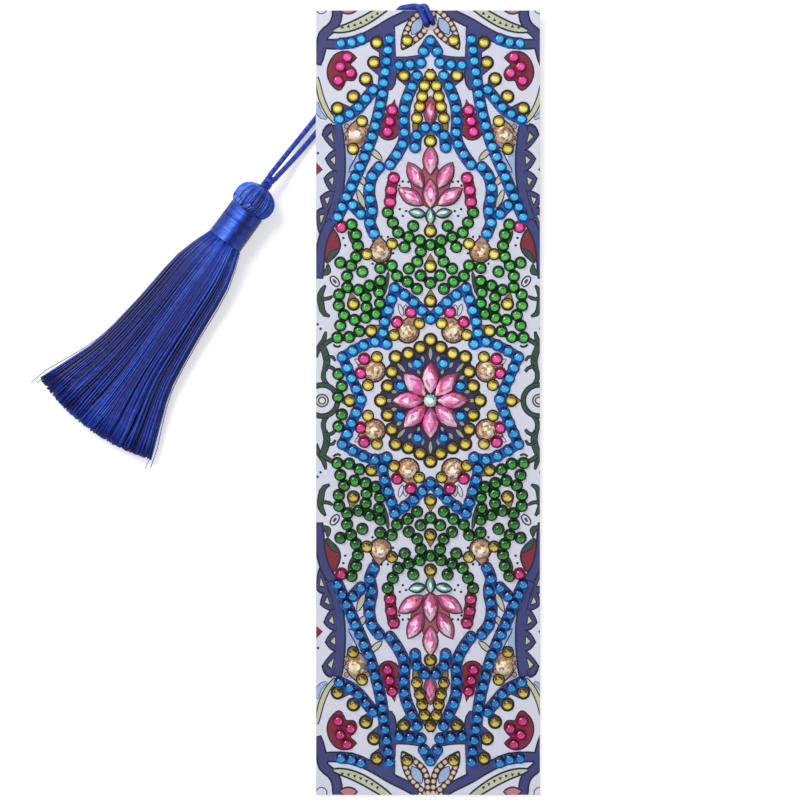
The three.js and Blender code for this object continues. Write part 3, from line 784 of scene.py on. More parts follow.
def add_crystal(name, draw):
    middle, (length, width), turn, slot = crystal_facts(name)
    spin = Matrix.Rotation(turn, 2)
    height = CRYSTAL_TIP - FACE_TOP
    build = Build()
    for share, rise, half in CUT_RINGS:
        for angle in angles(CUT_SIDES, half / 2):
            flat = spin @ cut_outline(angle, length, width) * share
            build.vertices.append((middle.x + flat.x, middle.y + flat.y, FACE_TOP + height * rise))
    tip = len(build.vertices)
    build.vertices.append((middle.x, middle.y, CRYSTAL_TIP))
    build.faces.append(tuple(reversed(range(CUT_SIDES))))
    wide, sparkle = FACET_PLAY[slot]
    patches = [(0, 0)]
    for ring in range(len(CUT_RINGS) - 1):
        for k in range(CUT_SIDES):
            a, b = ring * CUT_SIDES + k, ring * CUT_SIDES + (k + 1) % CUT_SIDES
            c, d = a + CUT_SIDES, b + CUT_SIDES
            if CUT_RINGS[ring][2] == CUT_RINGS[ring + 1][2]:
                build.faces.append((a, b, d, c))
            elif CUT_RINGS[ring][2] == 0:
                build.faces += [(a, b, c), (b, d, c)]
            else:
                build.faces += [(a, b, d), (a, d, c)]
            patches += [(ring, k // wide)] * (len(build.faces) - len(patches))
    last = tip - CUT_SIDES
    build.faces += [(last + k, last + (k + 1) % CUT_SIDES, tip) for k in range(CUT_SIDES)]
    patches += [("table", k // 3) for k in range(CUT_SIDES)]
    flash = {patch: draw.uniform(-sparkle, sparkle) for patch in dict.fromkeys(patches)}
    build.slots = [0] * len(build.faces)
    piece = build.finish(name + "_cut", [CRYSTAL_MATERIALS[slot]], smooth=False)
    tones = piece.data.attributes.new("tone", "FLOAT", "FACE")
    for facet, tone, patch in zip(piece.data.polygons, tones.data, patches):
        # Painted light towards LIGHT_SIDE, painted shade on the rim, a painted highlight on the
        # table and painted flashes on the facets
        from_middle = (facet.center / MM - middle).xy / (length / 2)
        facing = 0.5 + LIGHT_PLAY * from_middle.dot(LIGHT_SIDE)
        rim = RIM_PAINTED_SHADE if facet.normal.z < 0.5 else 0.0
        table = TABLE_PAINTED_HIGHLIGHT if facet.normal.z > 0.98 else 0.0
        if name.startswith("arch_petal"):
            table += ARCH_PETAL_TONE
        tone.value = limited(facing + rim + table + flash[patch], 0.04, 0.98)
    dress(piece, "card", name)


draw_facets = random.Random(7)
for node_name in sorted(frame["nodes"]):
    if any(word in node_name for word in ("petal", "crystal", "sepal")):
        add_crystal(node_name, draw_facets)


# Printed face. Later shapes lie over earlier ones, and every outline is cut into one flat mesh,
# so that each patch of ink is a part of the sheet's own face.

INKS = {
    "ground": "#d0d1e6",
    "indigo": "#404479",
    "dusk": "#343060",
    "royal": "#1c60c0",
    "navy": "#0c2466",
    "outline": "#22253a",
    "sage": "#c0c3a6",
    "lichen": "#9ca08c",
    "sky": "#9fb3da",
    "burgundy": "#822a3c",
    "plum": "#4c1c30",
    "vine": "#365040",
    "moss": "#0b2c12",
    "olive": "#8a7a3a",
    "umber": "#2e2418",
    "tan": "#b48c76",
    "cream": "#d6c4b0",
    "rose": "#b87e90",
    "wine": "#985868",
    "crimson": "#7c0f3c",
}
GROUND_TINTS = ("#cad5e6", "#e0dae8")
ink_shapes = []


def stamp(name, outline):
    """Prints a shape in one ink, where it stands on the card."""
    ink_shapes.append((name, outline))


def ink(name, outline, mirror="all"):
    """Prints a shape in one ink: in all quadrants, at both ends, or at both sides."""
    sides = (1,) if mirror == "ends" else (1, -1)
    heads = (1,) if mirror == "sides" else (1, -1)
    for side in sides:
        for head in heads:
            stamp(name, [Vector((PATTERN.x + side * x, PATTERN.y + head * y)) for x, y in outline])


# The distance between the points of a printed band, and the steps of a leaf's side
BAND_STEP = 1.3
LEAF_STEPS = 8


def disc(centre, radius, stretch=1.0, lean=0.0):
    sides = limited(round(radius * 8), 10, 40)
    turn = Matrix.Rotation(math.radians(lean), 2)
    return [
        Vector(centre) + turn @ Vector((radius * math.cos(a), radius * stretch * math.sin(a)))
        for a in angles(sides)
    ]


def band(points, width, taper=(1.0, 1.0)):
    """A strip along a smooth line; taper gives the share of the width left at each end."""
    length = path_length([Vector(p) for p in points])
    path = smooth_path(points, max(3, round(length / BAND_STEP)))
    left, right = [], []
    for i, point in enumerate(path):
        ahead = (path[min(i + 1, len(path) - 1)] - path[max(i - 1, 0)]).normalized()
        share = i / (len(path) - 1)
        edge = taper[0] + (taper[1] - taper[0]) * share
        bulge = edge + (1 - edge) * math.sin(math.pi * share) ** 0.6
        offset = Vector((-ahead.y, ahead.x)) * (width / 2 * bulge)
        left.append(point + offset)
        right.append(point - offset)
    return right + left[::-1]


def leaf(start, end, width, bend=0.0):
    """A pointed leaf between two points, bent sideways by a share of its length."""
    a, b = Vector(start), Vector(end)
    across = Vector((a.y - b.y, b.x - a.x))
    rows = []
    for side in (-1, 1):
        row = []
        for i in range(LEAF_STEPS + 1):
            t = i / LEAF_STEPS
            swell = math.sin(math.pi * t)
            middle = a.lerp(b, t) + across * (bend * swell)
            row.append(middle + across.normalized() * (side * width / 2 * swell**0.8))
        rows.append(row)
    return rows[0] + rows[1][-2:0:-1]


def drop(centre, radius, tip):
    """A round spot drawn out to a point."""
    middle, point = Vector(centre), Vector(tip)
    away = math.atan2(*(middle - point).yx)
    arc = [away + math.radians(a) for a in range(-110, 111, 20)]
    return [point] + [middle + Vector((radius * math.cos(a), radius * math.sin(a))) for a in arc]


def area_of(outline):
    return sum(a.x * b.y - a.y * b.x for a, b in zip(outline, outline[1:] + outline[:1])) / 2


def grown(outline, margin):
    """The outline moved outwards all round."""
    outward = margin if area_of(outline) > 0 else -margin
    made = []
    for i, point in enumerate(outline):
        ahead = (outline[(i + 1) % len(outline)] - outline[i - 1]).normalized()
        made.append(point + Vector((ahead.y, -ahead.x)) * outward)
    return made


def with_middle(corners):
    points = [Vector(corner) for corner in corners]
    return points, sum(points, Vector((0, 0))) / len(points)


def shrunk(corners, share):
    """The polygon drawn in towards its middle, or drawn out."""
    points, middle = with_middle(corners)
    return [middle + (point - middle) * share for point in points]


def bulged(corners, bulge):
    """The polygon with its sides bent outwards."""
    points, middle = with_middle(corners)
    made = []
    for a, b in zip(points, points[1:] + points[:1]):
        outwards = (a + b) / 2 - middle
        made += [a.lerp(b, t) + outwards * (bulge * 4 * t * (1 - t)) for t in (0, 0.25, 0.5, 0.75)]
    return made


def turns(step, start=0.0):
    """Angles all round a middle, given in degrees and put out in radians."""
    return [math.radians(angle + start) for angle in range(0, 360, step)]


def edged(edge, fill, outline, margin=0.5, mirror="all"):
    """A filled shape with a line of another ink round it."""
    outline = [Vector(p) for p in outline]
    ink(edge, grown(outline, margin), mirror)
    ink(fill, outline, mirror)


def lined(fill, outline, margin=0.5):
    edged("outline", fill, outline, margin)


# Bands, teeth, buds and vines of the border, in the ornament's one quadrant
PLAIN_BANDS = [
    [(30.3, 90.2), (29.2, 94.5), (28.6, 97.8), (26.2, 100), (25.1, 102.2), (24.9, 105.6)],
    [
        (28.4, 95.4), (24.4, 95.4), (18.5, 96.7), (14.4, 98.7), (10.6, 101), (6.2, 103.2),
        (3.4, 104.8),
    ],
    [(11.2, 101.4), (10.9, 98.6), (11, 96)],
    [(24.8, 49.6), (27.4, 46.4), (28.9, 42), (29.7, 37.4), (29.9, 33)],
]
ZIGZAG_SPINE = [(24.9, 73.6), (24.2, 68), (24, 63), (24.3, 58), (25.3, 53), (26.8, 48.6)]
# Each tooth: its point and its two roots on the spine
ZIGZAG_TEETH = [
    ((28.6, 70.9), (26.4, 73.4), (24.8, 67)),
    ((27.8, 64.6), (24.9, 66.8), (25.1, 61.6)),
    ((28.2, 59.3), (25.2, 61.2), (25.9, 56)),
    ((29.2, 54.4), (26, 55.7), (27.6, 51)),
    ((30.2, 50.4), (27.6, 50.8), (29.6, 45.4)),
]
CORNER_BUD = [
    (20, 91.7), (21.5, 92.9), (23.5, 93.2), (25.5, 92.3), (27, 90), (27.4, 87.5), (26.8, 85.4),
    (25.6, 83.9), (24.4, 83.2), (23.5, 84.2), (22.7, 85.8), (20.6, 85.9), (19.9, 87.4),
    (20.7, 88.9), (21.7, 89.9),
]
VINES = [
    ([(27, 22.5), (28.6, 23.4), (29.3, 26), (29.4, 28.6), (28.1, 30.8)], 1.9, (0.15, 0.1)),
    ([(29.2, 27.3), (27.6, 27.2), (26.2, 27.9)], 1.1, (0.9, 0.3)),
    ([(30.5, 11.6), (29.9, 14.2), (28.7, 15.8), (28, 18.4)], 1.5, (0.2, 0.1)),
    ([(29.2, 15), (28.2, 12.8), (27.7, 10.2), (28.3, 8.1)], 2.0, (0.9, 0.7)),
    ([(28.3, 8.4), (28.7, 6.4), (28, 4.6), (26.6, 3.2)], 1.4, (0.9, 0.9)),
    ([(28.5, 14.8), (27, 16), (25.2, 16.6)], 1.4, (0.9, 0.6)),
    ([(28, 11), (26.6, 12), (25.4, 10.6)], 1.0, (0.9, 0.2)),
    ([(27.8, 9), (26.4, 8.9), (25.4, 7.8)], 1.1, (0.9, 0.6)),
    ([(26, 15), (25, 14.3), (24, 14.7)], 0.6, (0.4, 0.4)),
]
DOTS = [
    (23.3, 43.5), (24.2, 41.7), (22.8, 41.5), (13.1, 43.9), (11.4, 43.8), (15.4, 42.7),
    (15.5, 36.6), (10, 39.4), (8.2, 51.2), (6.5, 50.7), (7.4, 49.4), (7.4, 58.6), (5.9, 58.5),
    (8.3, 57.5), (30.1, 66.2), (30.2, 20.4), (29.4, 19.2),
]
# The points that some of the yellow stones' spots are drawn out to. The first six are thorns.
THORNS = 6
SPOT_TIPS = {
    (14.3, 95.7): (12.6, 92.4),
    (15.1, 90.4): (13.4, 86.6),
    (17.3, 86): (15.2, 82.8),
    (20.6, 81.3): (18, 79),
    (24.8, 78.1): (21.8, 78.6),
    (7.1, 86.9): (6.4, 84.2),
    (0, 69.4): (0, 72.4),
    (0, 35.9): (0, 39.2),
    (0, 45.3): (0, 48.4),
    (0, 26.6): (0, 29.8),
    (20.6, 25.8): (21.4, 28.8),
    (15.8, 18.6): (13.4, 20),
    (21.6, 0): (24, 0),
}
CHAMPAGNE_DROPS = [
    ((13.4, 39.8), 2.7, (14, 44.2)),
    ((6.1, 18.5), 2.85, (4.2, 23.4)),
    ((15.1, 8), 2.8, (19.2, 9.4)),
]


def print_borders():
    for name, margin in (("outline", 0.5), ("indigo", 0.0)):
        for line in PLAIN_BANDS:
            ink(name, grown(band(line, 2.1, (0.9, 0.9)), margin))
    ink("sky", band([(22.2, 78), (22.3, 70), (21.9, 62), (21.4, 56)], 2.8, (0.6, 0.3)))
    ink("sky", leaf((15.8, 81), (22.6, 74.2), 2.6))
    teeth = [bulged(tooth, 0.36) for tooth in ZIGZAG_TEETH]
    for name, margin, share in (("outline", 0.5, 1.3), ("indigo", 0.0, 1.04)):
        ink(name, grown(band(ZIGZAG_SPINE, 1.9), margin))
        for tooth in teeth:
            ink(name, shrunk(tooth, share))
    for name, share in (("outline", 0.64), ("sage", 0.4)):
        for tooth in ZIGZAG_TEETH:
            ink(name, shrunk(tooth, share))
    corner = [(25.9, 98.9), (22, 99.8), (18.4, 101.3), (14.8, 103.4), (11, 106)]
    lined("sage", band(corner, 2.0, (0.15, 0.6)))
    for x, y in smooth_path([(23.6, 99.9), (20.6, 100.4), (17, 101.9), (14.2, 103.6)], 6):
        ink("outline", [(x - 0.5, y - 0.35), (x + 0.5, y - 0.35), (x, y + 0.5)])
    lined("sage", band([(30.4, 86.4), (29.2, 81), (27.4, 77), (25.4, 74.6)], 1.1, (0.4, 0.8)), 0.35)
    lined("sky", band([(30.6, 79.6), (29.6, 76.6), (27.8, 75.4)], 1.3, (0.9, 0.3)), 0.2)
    edged("plum", "rose", leaf((19.8, 104.7), (24.2, 104.6), 1.9))
    lined("ground", disc((29.2, 105), 1.4), 0.28)
    lined("burgundy", [(30.6, 63.8), (29, 61.8), (30.6, 60.2)], 0.25)
    lined("burgundy", leaf((25.9, 45.6), (27.9, 37.2), 3.3, -0.1))
    lined("vine", leaf((24.3, 40.6), (27.6, 36.8), 1.3, 0.1), 0.3)
    lined("vine", leaf((27.5, 36.6), (29.3, 33.6), 1.3, -0.3), 0.3)
    lined("ground", disc((25.6, 31.9), 0.75, 1.9, -38), 0.42)
    lined("vine", disc((25.6, 31.9), 0.25, 2.6, -38), 0.12)
    for line, width, taper in VINES:
        lined("vine", band(line, width - 0.55, taper), 0.3)
    for name, radius in (
        ("outline", 4.95), ("vine", 4.6), ("outline", 3.8), ("ground", 3.4), ("outline", 1.85),
        ("sage", 1.5), ("outline", 1.1), ("ground", 0.75),
    ):
        ink(name, disc((29, 0), radius), "sides")


def print_arches():
    star = [line for line in BLUE_LINES if max(v for _, v in line) < STAR_REACH]
    arches = [line for line in BLUE_LINES if line not in star]
    for name, lines, width in (
        ("outline", arches, 3.3),
        ("indigo", arches, 2.7),
        ("outline", star, 2.9),
        ("royal", star, 2.3),
    ):
        for line in lines:
            ink(name, band(line, width))
    for name, top, margin in (("outline", 95.8, 0.3), ("indigo", 99.4, 0.0)):
        upright = band([(11.6, top), (11.5, 92), (11.2, 87.5), (10.7, 83.2)], 4.2, (1.0, 0.1))
        level = band([(10.6, 90.3), (5.3, 90.4), (1.8, 91.4)], 3.0, (1.0, 0.5))
        for shape in (upright, level):
            ink(name, grown(shape, margin))
    ink("sky", leaf((16.8, 82.6), (19.2, 76.8), 1.7))
    lined("sky", leaf((21.8, 61.2), (18.9, 66.8), 1.6, 0.12), 0.35)
    for start, end in (
        ((16.2, 67.4), (13, 64.4)), ((19.2, 60.4), (17.4, 57.6)), ((19.6, 56.4), (17.6, 51.6))
    ):
        lined("sage", leaf(start, end, 1.3), 0.32)
    for arm in (
        ((7.6, 93.9), (7.2, 96.4), (6, 99.8), (3.9, 102.8), (1.4, 105)),
        ((7.6, 93.9), (4.4, 96.3), (1.9, 98.6), (0.9, 101.2), (0.7, 105)),
    ):
        lined("umber", band(arm, 1.5, (0.15, 0.9)), 0.2)
        for spot in smooth_path(arm, 9)[2:]:
            ink("tan", disc(spot, 0.66))
            ink("cream", disc(spot, 0.48))
    ink("sage", leaf((7.4, 94.3), (6.2, 97.4), 1.5))
    lined("sky", leaf((4.9, 98), (2.4, 102.3), 2.5), 0.3)
    stem = [(0, 88.4), (1.6, 84.2), (2.6, 79.8), (3.7, 75.2), (4.2, 72)]
    edged("umber", "olive", band(stem, 1.9, (0.6, 0.3)), 0.35)
    for spot in ((18.3, 74.7), (20.7, 67.3)):
        ink("umber", disc(spot, 1.7))
    edged("umber", "tan", leaf((18.2, 75.6), (21.2, 66.4), 5.4), 0.4)
    for side in (-1, 1):
        for step in (-2.1, 0.0, 2.1):
            spot = Vector((19.7 + side * 2.2, 71.1 + step))
            edged("umber", "tan", leaf(spot, spot + Vector((side * 1.1, 0.3)), 1.2), 0.2)


def print_buds():
    shapes = [
        smooth_path(CORNER_BUD + CORNER_BUD[:1], 60)[:-1],
        drop((11.2, 72.6), 2.7, (9.6, 80.4)),
        band([(9.7, 60.8), (10.5, 56.2), (10.9, 51.4)], 2.3, (0.7, 0.7)),
    ]
    for shape in shapes:
        ink("outline", grown(shape, 0.42))
    for shape in shapes:
        ink("burgundy", shape)


def print_leaves():
    for line in GREEN_LINES:
        edged("moss", "vine", band(line, 1.1, (0.8, 0.8)), 0.4)
    for start, end in (
        ((11.2, 34.6), (12.4, 28.2)), ((22, 45.4), (20.2, 41.2)), ((5.2, 40.6), (8.8, 41.6))
    ):
        lined("vine", leaf(start, end, 0.9), 0.25)
    for start, end in (
        ((8.4, 25.8), (7.4, 22.6)), ((6.6, 25.6), (6.8, 22.8)), ((20.2, 11), (17.8, 9.4))
    ):
        lined("ground", leaf(start, end, 0.9), 0.25)


def print_petals(start, edge, fill, margin):
    """A printed petal under each crystal whose name starts so, a little larger than the crystal."""
    for name in sorted(frame["nodes"]):
        if name.startswith(start):
            middle, (length, width), turn, _ = crystal_facts(name)
            ahead = Vector((-math.sin(turn), math.cos(turn))) * (length / 2 + margin)
            for colour, share, extra in ((edge, 1.0, 1.1), (fill, 0.94, 0.5)):
                reach = ahead * share
                stamp(colour, leaf(middle.xy - reach, middle.xy + reach, width + extra))


def print_lotus():
    edged("plum", "wine", leaf((0, 51.4), (0, 65), 5.4), 0.3, "ends")
    edged("plum", "wine", leaf((0.6, 51.6), (5.4, 60.4), 2.6), 0.3)
    for kind in ("lotus_top_petal", "lotus_upper", "lotus_side_petal", "lotus_heart"):
        print_petals(kind, "plum", "wine", 0.6)
    for kind in ("lotus_side_sepal", "lotus_foot_sepal"):
        print_petals(kind, "outline", "vine", 0.6)
    edged("plum", "wine", leaf((0, 73.2), (0, 81.4), 3.4), 0.3, "ends")


def print_rosette():
    for name, radius in (("outline", 4.7), ("dusk", 4.3)):
        for a in turns(45):
            stamp(name, disc(PATTERN + Vector((9.3 * math.sin(a), 11.4 * math.cos(a))), radius))
    for spot in YELLOW_SPOTS[-RING_SPOTS:]:
        ink("outline", disc(spot, 2.0))
    stamp("dusk", disc(PATTERN, 9.6, 1.2))
    for a in turns(45, 22.5):
        ahead = Vector((math.sin(a), math.cos(a)))
        stamp("outline", leaf(PATTERN + ahead * 6.6, PATTERN + ahead * 13.6, 2.2))
        stamp("lichen", leaf(PATTERN + ahead * 7.6, PATTERN + ahead * 8.9, 0.8))
    for a in turns(45):
        for lean, near, far in ((0, 0.76, 1.0), (-12, 0.73, 0.86), (12, 0.73, 0.86)):
            b = a + math.radians(lean)
            ahead = Vector((12.6 * math.sin(b), 14.2 * math.cos(b)))
            spike = leaf(PATTERN + ahead * near, PATTERN + ahead * far, 0.9)
            stamp("outline", grown(spike, 0.25))
            stamp("lichen", spike)
    # A dark disc in the middle, painted shade between the petals' roots
    stamp("plum", disc(PATTERN, 4.6))
    stamp("outline", disc(PATTERN, 2.7))
    print_petals("rosette_petal", "outline", "burgundy", 0.9)
    for centre, radius, tip in CHAMPAGNE_DROPS:
        edged("umber", "tan", drop(centre, radius, tip))
        for a in turns(40, 20):
            spot = Vector(centre) + Vector((math.cos(a), math.sin(a))) * (radius - 0.35)
            edged("umber", "rose", disc(spot, 0.32), 0.16)


def print_spots():
    for i, (spot, tip) in enumerate(SPOT_TIPS.items()):
        if i < THORNS:
            lined("indigo", drop(spot, 1.6, tip), 0.35)
        else:
            edged("umber", "olive", drop(spot, 1.5, tip), 0.35)
    for spot in DOTS:
        ink("outline", disc(spot, 0.36))


# Rings under the stones, a painted shade round each stone that lies deeper above it, and round the
# blue ones a painted blue halo: ink, radius, and how far the ring lies above the stone's middle
STONE_SHADE_RINGS = {
    "blue": (("royal", 1.7, -0.06), ("navy", 1.42, 0.32)),
    "green": (("moss", 1.72, 0.1),),
    "yellow": (("umber", 1.7, 0.06),),
    "magenta": (("crimson", 1.78, 0.1),),
}


def print_stone_shade_rings():
    # Painted shade and a painted halo round each stone
    for layer in range(2):
        for (x, y), colour in drill_colours.items():
            if layer < len(STONE_SHADE_RINGS[colour]):
                name, radius, lift = STONE_SHADE_RINGS[colour][layer]
                stamp(name, disc((x, y + lift), radius))


def printed_face():
    """The sheet's upper face, cut along every outline and filled with the ink on top there."""
    print_borders()
    print_lotus()
    print_buds()
    print_arches()
    print_leaves()
    print_rosette()
    print_spots()
    print_stone_shade_rings()
    x, y = HALF_WIDTH - EDGE_ROUND, HALF_LENGTH - EDGE_ROUND
    sheet = [Vector(p) for p in ((-x, -y), (x, -y), (x, y), (-x, y))]
    outlines = [sheet, disc(HOLE, HOLE_RADIUS + EDGE_ROUND)]
    outlines += [points if area_of(points) > 0 else points[::-1] for _, points in ink_shapes]
    flat, groups = [], []
    for outline in outlines:
        groups.append(list(range(len(flat), len(flat) + len(outline))))
        flat += [Vector(p) for p in outline]
    points, _, faces, _, _, owners = geometry.delaunay_2d_cdt(flat, [], groups, 1, 1e-4)
    names = list(INKS)
    kept, colours = [], []
    for face, owner in zip(faces, owners):
        if 0 in owner and 1 not in owner:
            top = max(owner)
            kept.append(tuple(face))
            colours.append(names.index(ink_shapes[top - 2][0]) if top > 1 else 0)
    return points, kept, colours


def add_printed_sheet():
    points, kept, colours = printed_face()
    used = sorted({i for face in kept for i in face})
    number = {old: new for new, old in enumerate(used)}
    build = Build()
    build.vertices = [(points[i].x, points[i].y, FACE_TOP) for i in used]
    build.faces = [tuple(number[i] for i in face) for face in kept]
    build.slots = colours
    edges = {edge for face in build.faces for edge in zip(face, face[1:] + face[:1])}
    rim = [edge for edge in edges if (edge[1], edge[0]) not in edges]
    edge_slot = len(INKS)
    above = {i: i for i, _ in rim}
    for height in (FACE_TOP - EDGE_ROUND, FACE_LOW):
        below = {}
        for i in above:
            x, y, _ = build.vertices[i]
            below[i] = len(build.vertices)
            build.vertices.append((*moved_out(x, y, EDGE_ROUND), height))
        for a, b in rim:
            build.faces.append((above[b], above[a], below[a], below[b]))
            build.slots.append(edge_slot)
        above = below
    piece = build.finish("printed_face", ink_materials + [cut_edge], smooth=False)
    close_underside(piece, edge_slot)
    dress(piece, "card", "face_sheet")


NEAR_RIM = 0.2


def moved_out(x, y, outward):
    """A point of the sheet's rim, moved off the sheet."""
    from_hole = Vector((x, y)) - HOLE
    if from_hole.length < HOLE_RADIUS + NEAR_RIM:
        return HOLE + from_hole * (1 - outward / from_hole.length)
    if abs(x) > HALF_WIDTH - NEAR_RIM:
        x = math.copysign(HALF_WIDTH, x)
    if abs(y) > HALF_LENGTH - NEAR_RIM:
        y = math.copysign(HALF_LENGTH, y)
    return x, y


def close_underside(piece, slot):
    work = bmesh.new()
    work.from_mesh(piece.data)
    open_edges = [edge for edge in work.edges if edge.is_boundary]
    made = bmesh.ops.triangle_fill(work, use_beauty=True, edges=open_edges)
    for item in made["geom"]:
        if isinstance(item, bmesh.types.BMFace):
            item.material_index = slot
    bmesh.ops.recalc_face_normals(work, faces=work.faces)
    work.to_mesh(piece.data)
    work.free()


def ink_leather(name, code):
    if name == "ground":
        return leather("print_ground", *(paint(tint) for tint in GROUND_TINTS))
    return leather(f"print_{name}", shade_of(code, 0.84), shade_of(code, 1.16))


ink_materials = [ink_leather(name, code) for name, code in INKS.items()]
cut_edge = leather(
    "cut_edge", paint("#dcdae2"), paint("#f2f0f4"), grain_scale=1800.0, roughness=0.8, coat=0.0
)
add_printed_sheet()

plain_leather = leather("plain_leather", paint("#dad6cc"), paint("#efebe4"))
frame["nodes"]["back_sheet"].data.materials.clear()
frame["nodes"]["back_sheet"].data.materials.append(plain_leather)


# Tassel: the knot, the bulb of folded threads, the winding round the neck and the skirt

BULB_RADIUS = 5.7
BULB_START = 1.9
NECK_START = 9.3
NECK_LENGTH = 10.6
NECK_END = NECK_START + NECK_LENGTH
NECK_START_RADIUS = 4.35
NECK_END_RADIUS = 4.45
NECK_SIDES = 40
# The head's threads, and the short stitches at its foot: where they start and how far they reach
HEAD_THREADS = 110
HEAD_THREAD_RADIUS = 0.18
HEAD_STITCHES = 64
STITCHES_START = 1.25
STITCHES_REACH = 2.15
# Where the head's folded threads part, as a cosine round it, and how wide. The threads there
# sink in and are painted darker, a painted shade in the cleft
CLEFT_PLACE = 0.35
CLEFT_WIDTH = 0.1
WINDING_THREAD = 0.13
WINDING_PITCH = 0.2
SKIRT_LENGTH = 58.6
SKIRT_END_BULGE = 3.2
SKIRT_THREADS = 640
SKIRT_THREAD_RADIUS = 0.23
STRAY_RADIUS = 0.11
SKIRT_LOCKS = 90
THREAD_STEPS = 12
# The skirt's width at distances from the neck
SKIRT_OUTLINE = smooth_path(
    [
        (0, 9.6), (5, 13.4), (11, 16.6), (19, 18.2), (27, 19.8), (32, 21.2), (38, 22.8), (43, 25.4),
        (49, 30), (58.6, 37.6),
    ],
    60,
)
# The skirt's depth and the height of its middle, at shares of its length
SKIRT_SHARES = (0, 0.48, 1)
SKIRT_DEPTHS = (7.8, 6.9, 4.7)
SKIRT_MIDDLES = (4.7, 3.6, 2.6)
SKIRT_REACH = [station.x for station in SKIRT_OUTLINE]
SKIRT_WIDTHS = [station.y for station in SKIRT_OUTLINE]
# The winding's painted sheen round the neck, painted highlights and painted shade, from its upper
# left side to its lower right side
WINDING_PAINTED_SHEEN = (
    (-1, -0.8, -0.5, -0.25, 0, 0.1, 0.25, 0.45, 0.6, 0.75, 0.95),
    (0.3, 0.36, 0.56, 0.78, 0.84, 0.7, 0.28, 0.2, 0.46, 0.56, 0.26),
)


def neck_radius(along):
    share = (along - NECK_START) / NECK_LENGTH
    return NECK_START_RADIUS + (NECK_END_RADIUS - NECK_START_RADIUS) * share


def round_neck(along, radius, angle):
    return Vector((along, radius * math.cos(angle), radius * math.sin(angle)))


def add_knot():
    build = Build()
    for turn, (middle, lean) in enumerate(((-0.8, 0.55), (0.3, -0.6), (1.1, 0.3))):
        loop = [
            round_neck(middle + lean * math.sin(a), 0.8, a) for a in round_trip(NECK_SIDES)
        ]
        build.ring_tube(loop, 0.64, 12, value=0.46 + 0.1 * (turn % 2))
    core = [Vector((x, 0, z)) for x, z in ((-1.5, 0), (-0.4, 0), (0.6, 0.2), (2.6, 0.9))]
    build.ring_tube(core, 0.7, 12, value=0.4)
    place = TASSEL_FRAME @ Matrix.Translation((0, 0, KNOT_HEIGHT))
    piece = build.finish("neck_knot_wraps", [satin_cord], place, uv=True)
    dress(piece, "cord", "neck_knot")


def bulb_radius(along):
    stations = [0, 0.05, 0.15, 0.3, 0.5, 0.7, 0.88, 1.0]
    shares = [0.22, 0.5, 0.74, 0.92, 1.0, 0.99, 0.9, NECK_START_RADIUS / BULB_RADIUS]
    share = (along - BULB_START) / (NECK_START - BULB_START)
    return BULB_RADIUS * float(np.interp(share, stations, shares))


def add_head(draw):
    build = Build()
    profile = [BULB_START + (NECK_START - BULB_START) * i / 14 for i in range(15)]
    core = [Vector((along, 0, 0)) for along in [*profile, NECK_END]]
    radii = [bulb_radius(along) - 0.25 for along in profile] + [NECK_END_RADIUS - 0.1]
    # A dark core under the threads, painted shade between them
    build.ring_tube(core, radii, NECK_SIDES, value=0.2, slot=1)
    for i in range(HEAD_THREADS):
        around = 2 * math.pi * (i + draw.uniform(-0.3, 0.3)) / HEAD_THREADS
        slip = draw.uniform(-0.1, 0.1)
        lift = draw.uniform(-0.1, 0.05)
        cleft = 0.0
        if math.sin(around) > 0:
            cleft = math.exp(-(((math.cos(around) - CLEFT_PLACE) / CLEFT_WIDTH) ** 2))
        path = []
        for j in range(17):
            along = BULB_START - 0.1 + (NECK_START + 0.3 - BULB_START) * j / 16
            swell = math.sin(math.pi * j / 16)
            radius = bulb_radius(max(along, BULB_START)) - 0.14 + (lift - 0.25 * cleft) * swell
            path.append(round_neck(along, radius, around + slip * j / 16))
        # Threads in the cleft are painted darker, a painted shade
        tone = 0.64 - 0.38 * cleft + draw.uniform(-0.24, 0.24)
        build.ring_tube(path, HEAD_THREAD_RADIUS, 6, value=tone)
    for i in range(HEAD_STITCHES):
        around = STITCHES_START + STITCHES_REACH * (i + draw.uniform(0, 1)) / HEAD_STITCHES
        start = draw.uniform(NECK_START - 1.9, NECK_START - 0.9)
        length = draw.uniform(0.9, 1.7)
        path = []
        for j in range(5):
            along = start + length * j / 4
            radius = bulb_radius(min(along, NECK_START)) + 0.16
            path.append(round_neck(along, radius, around + 0.03 * j))
        build.ring_tube(path, 0.1, 5, value=draw.choice((0.2, 0.75, 0.95, 1.05)))
    piece = build.finish("head_threads", [tassel_thread, shaded_tassel_core], NECK_FRAME, uv=True)
    dress(piece, "tassel", "tassel_head")


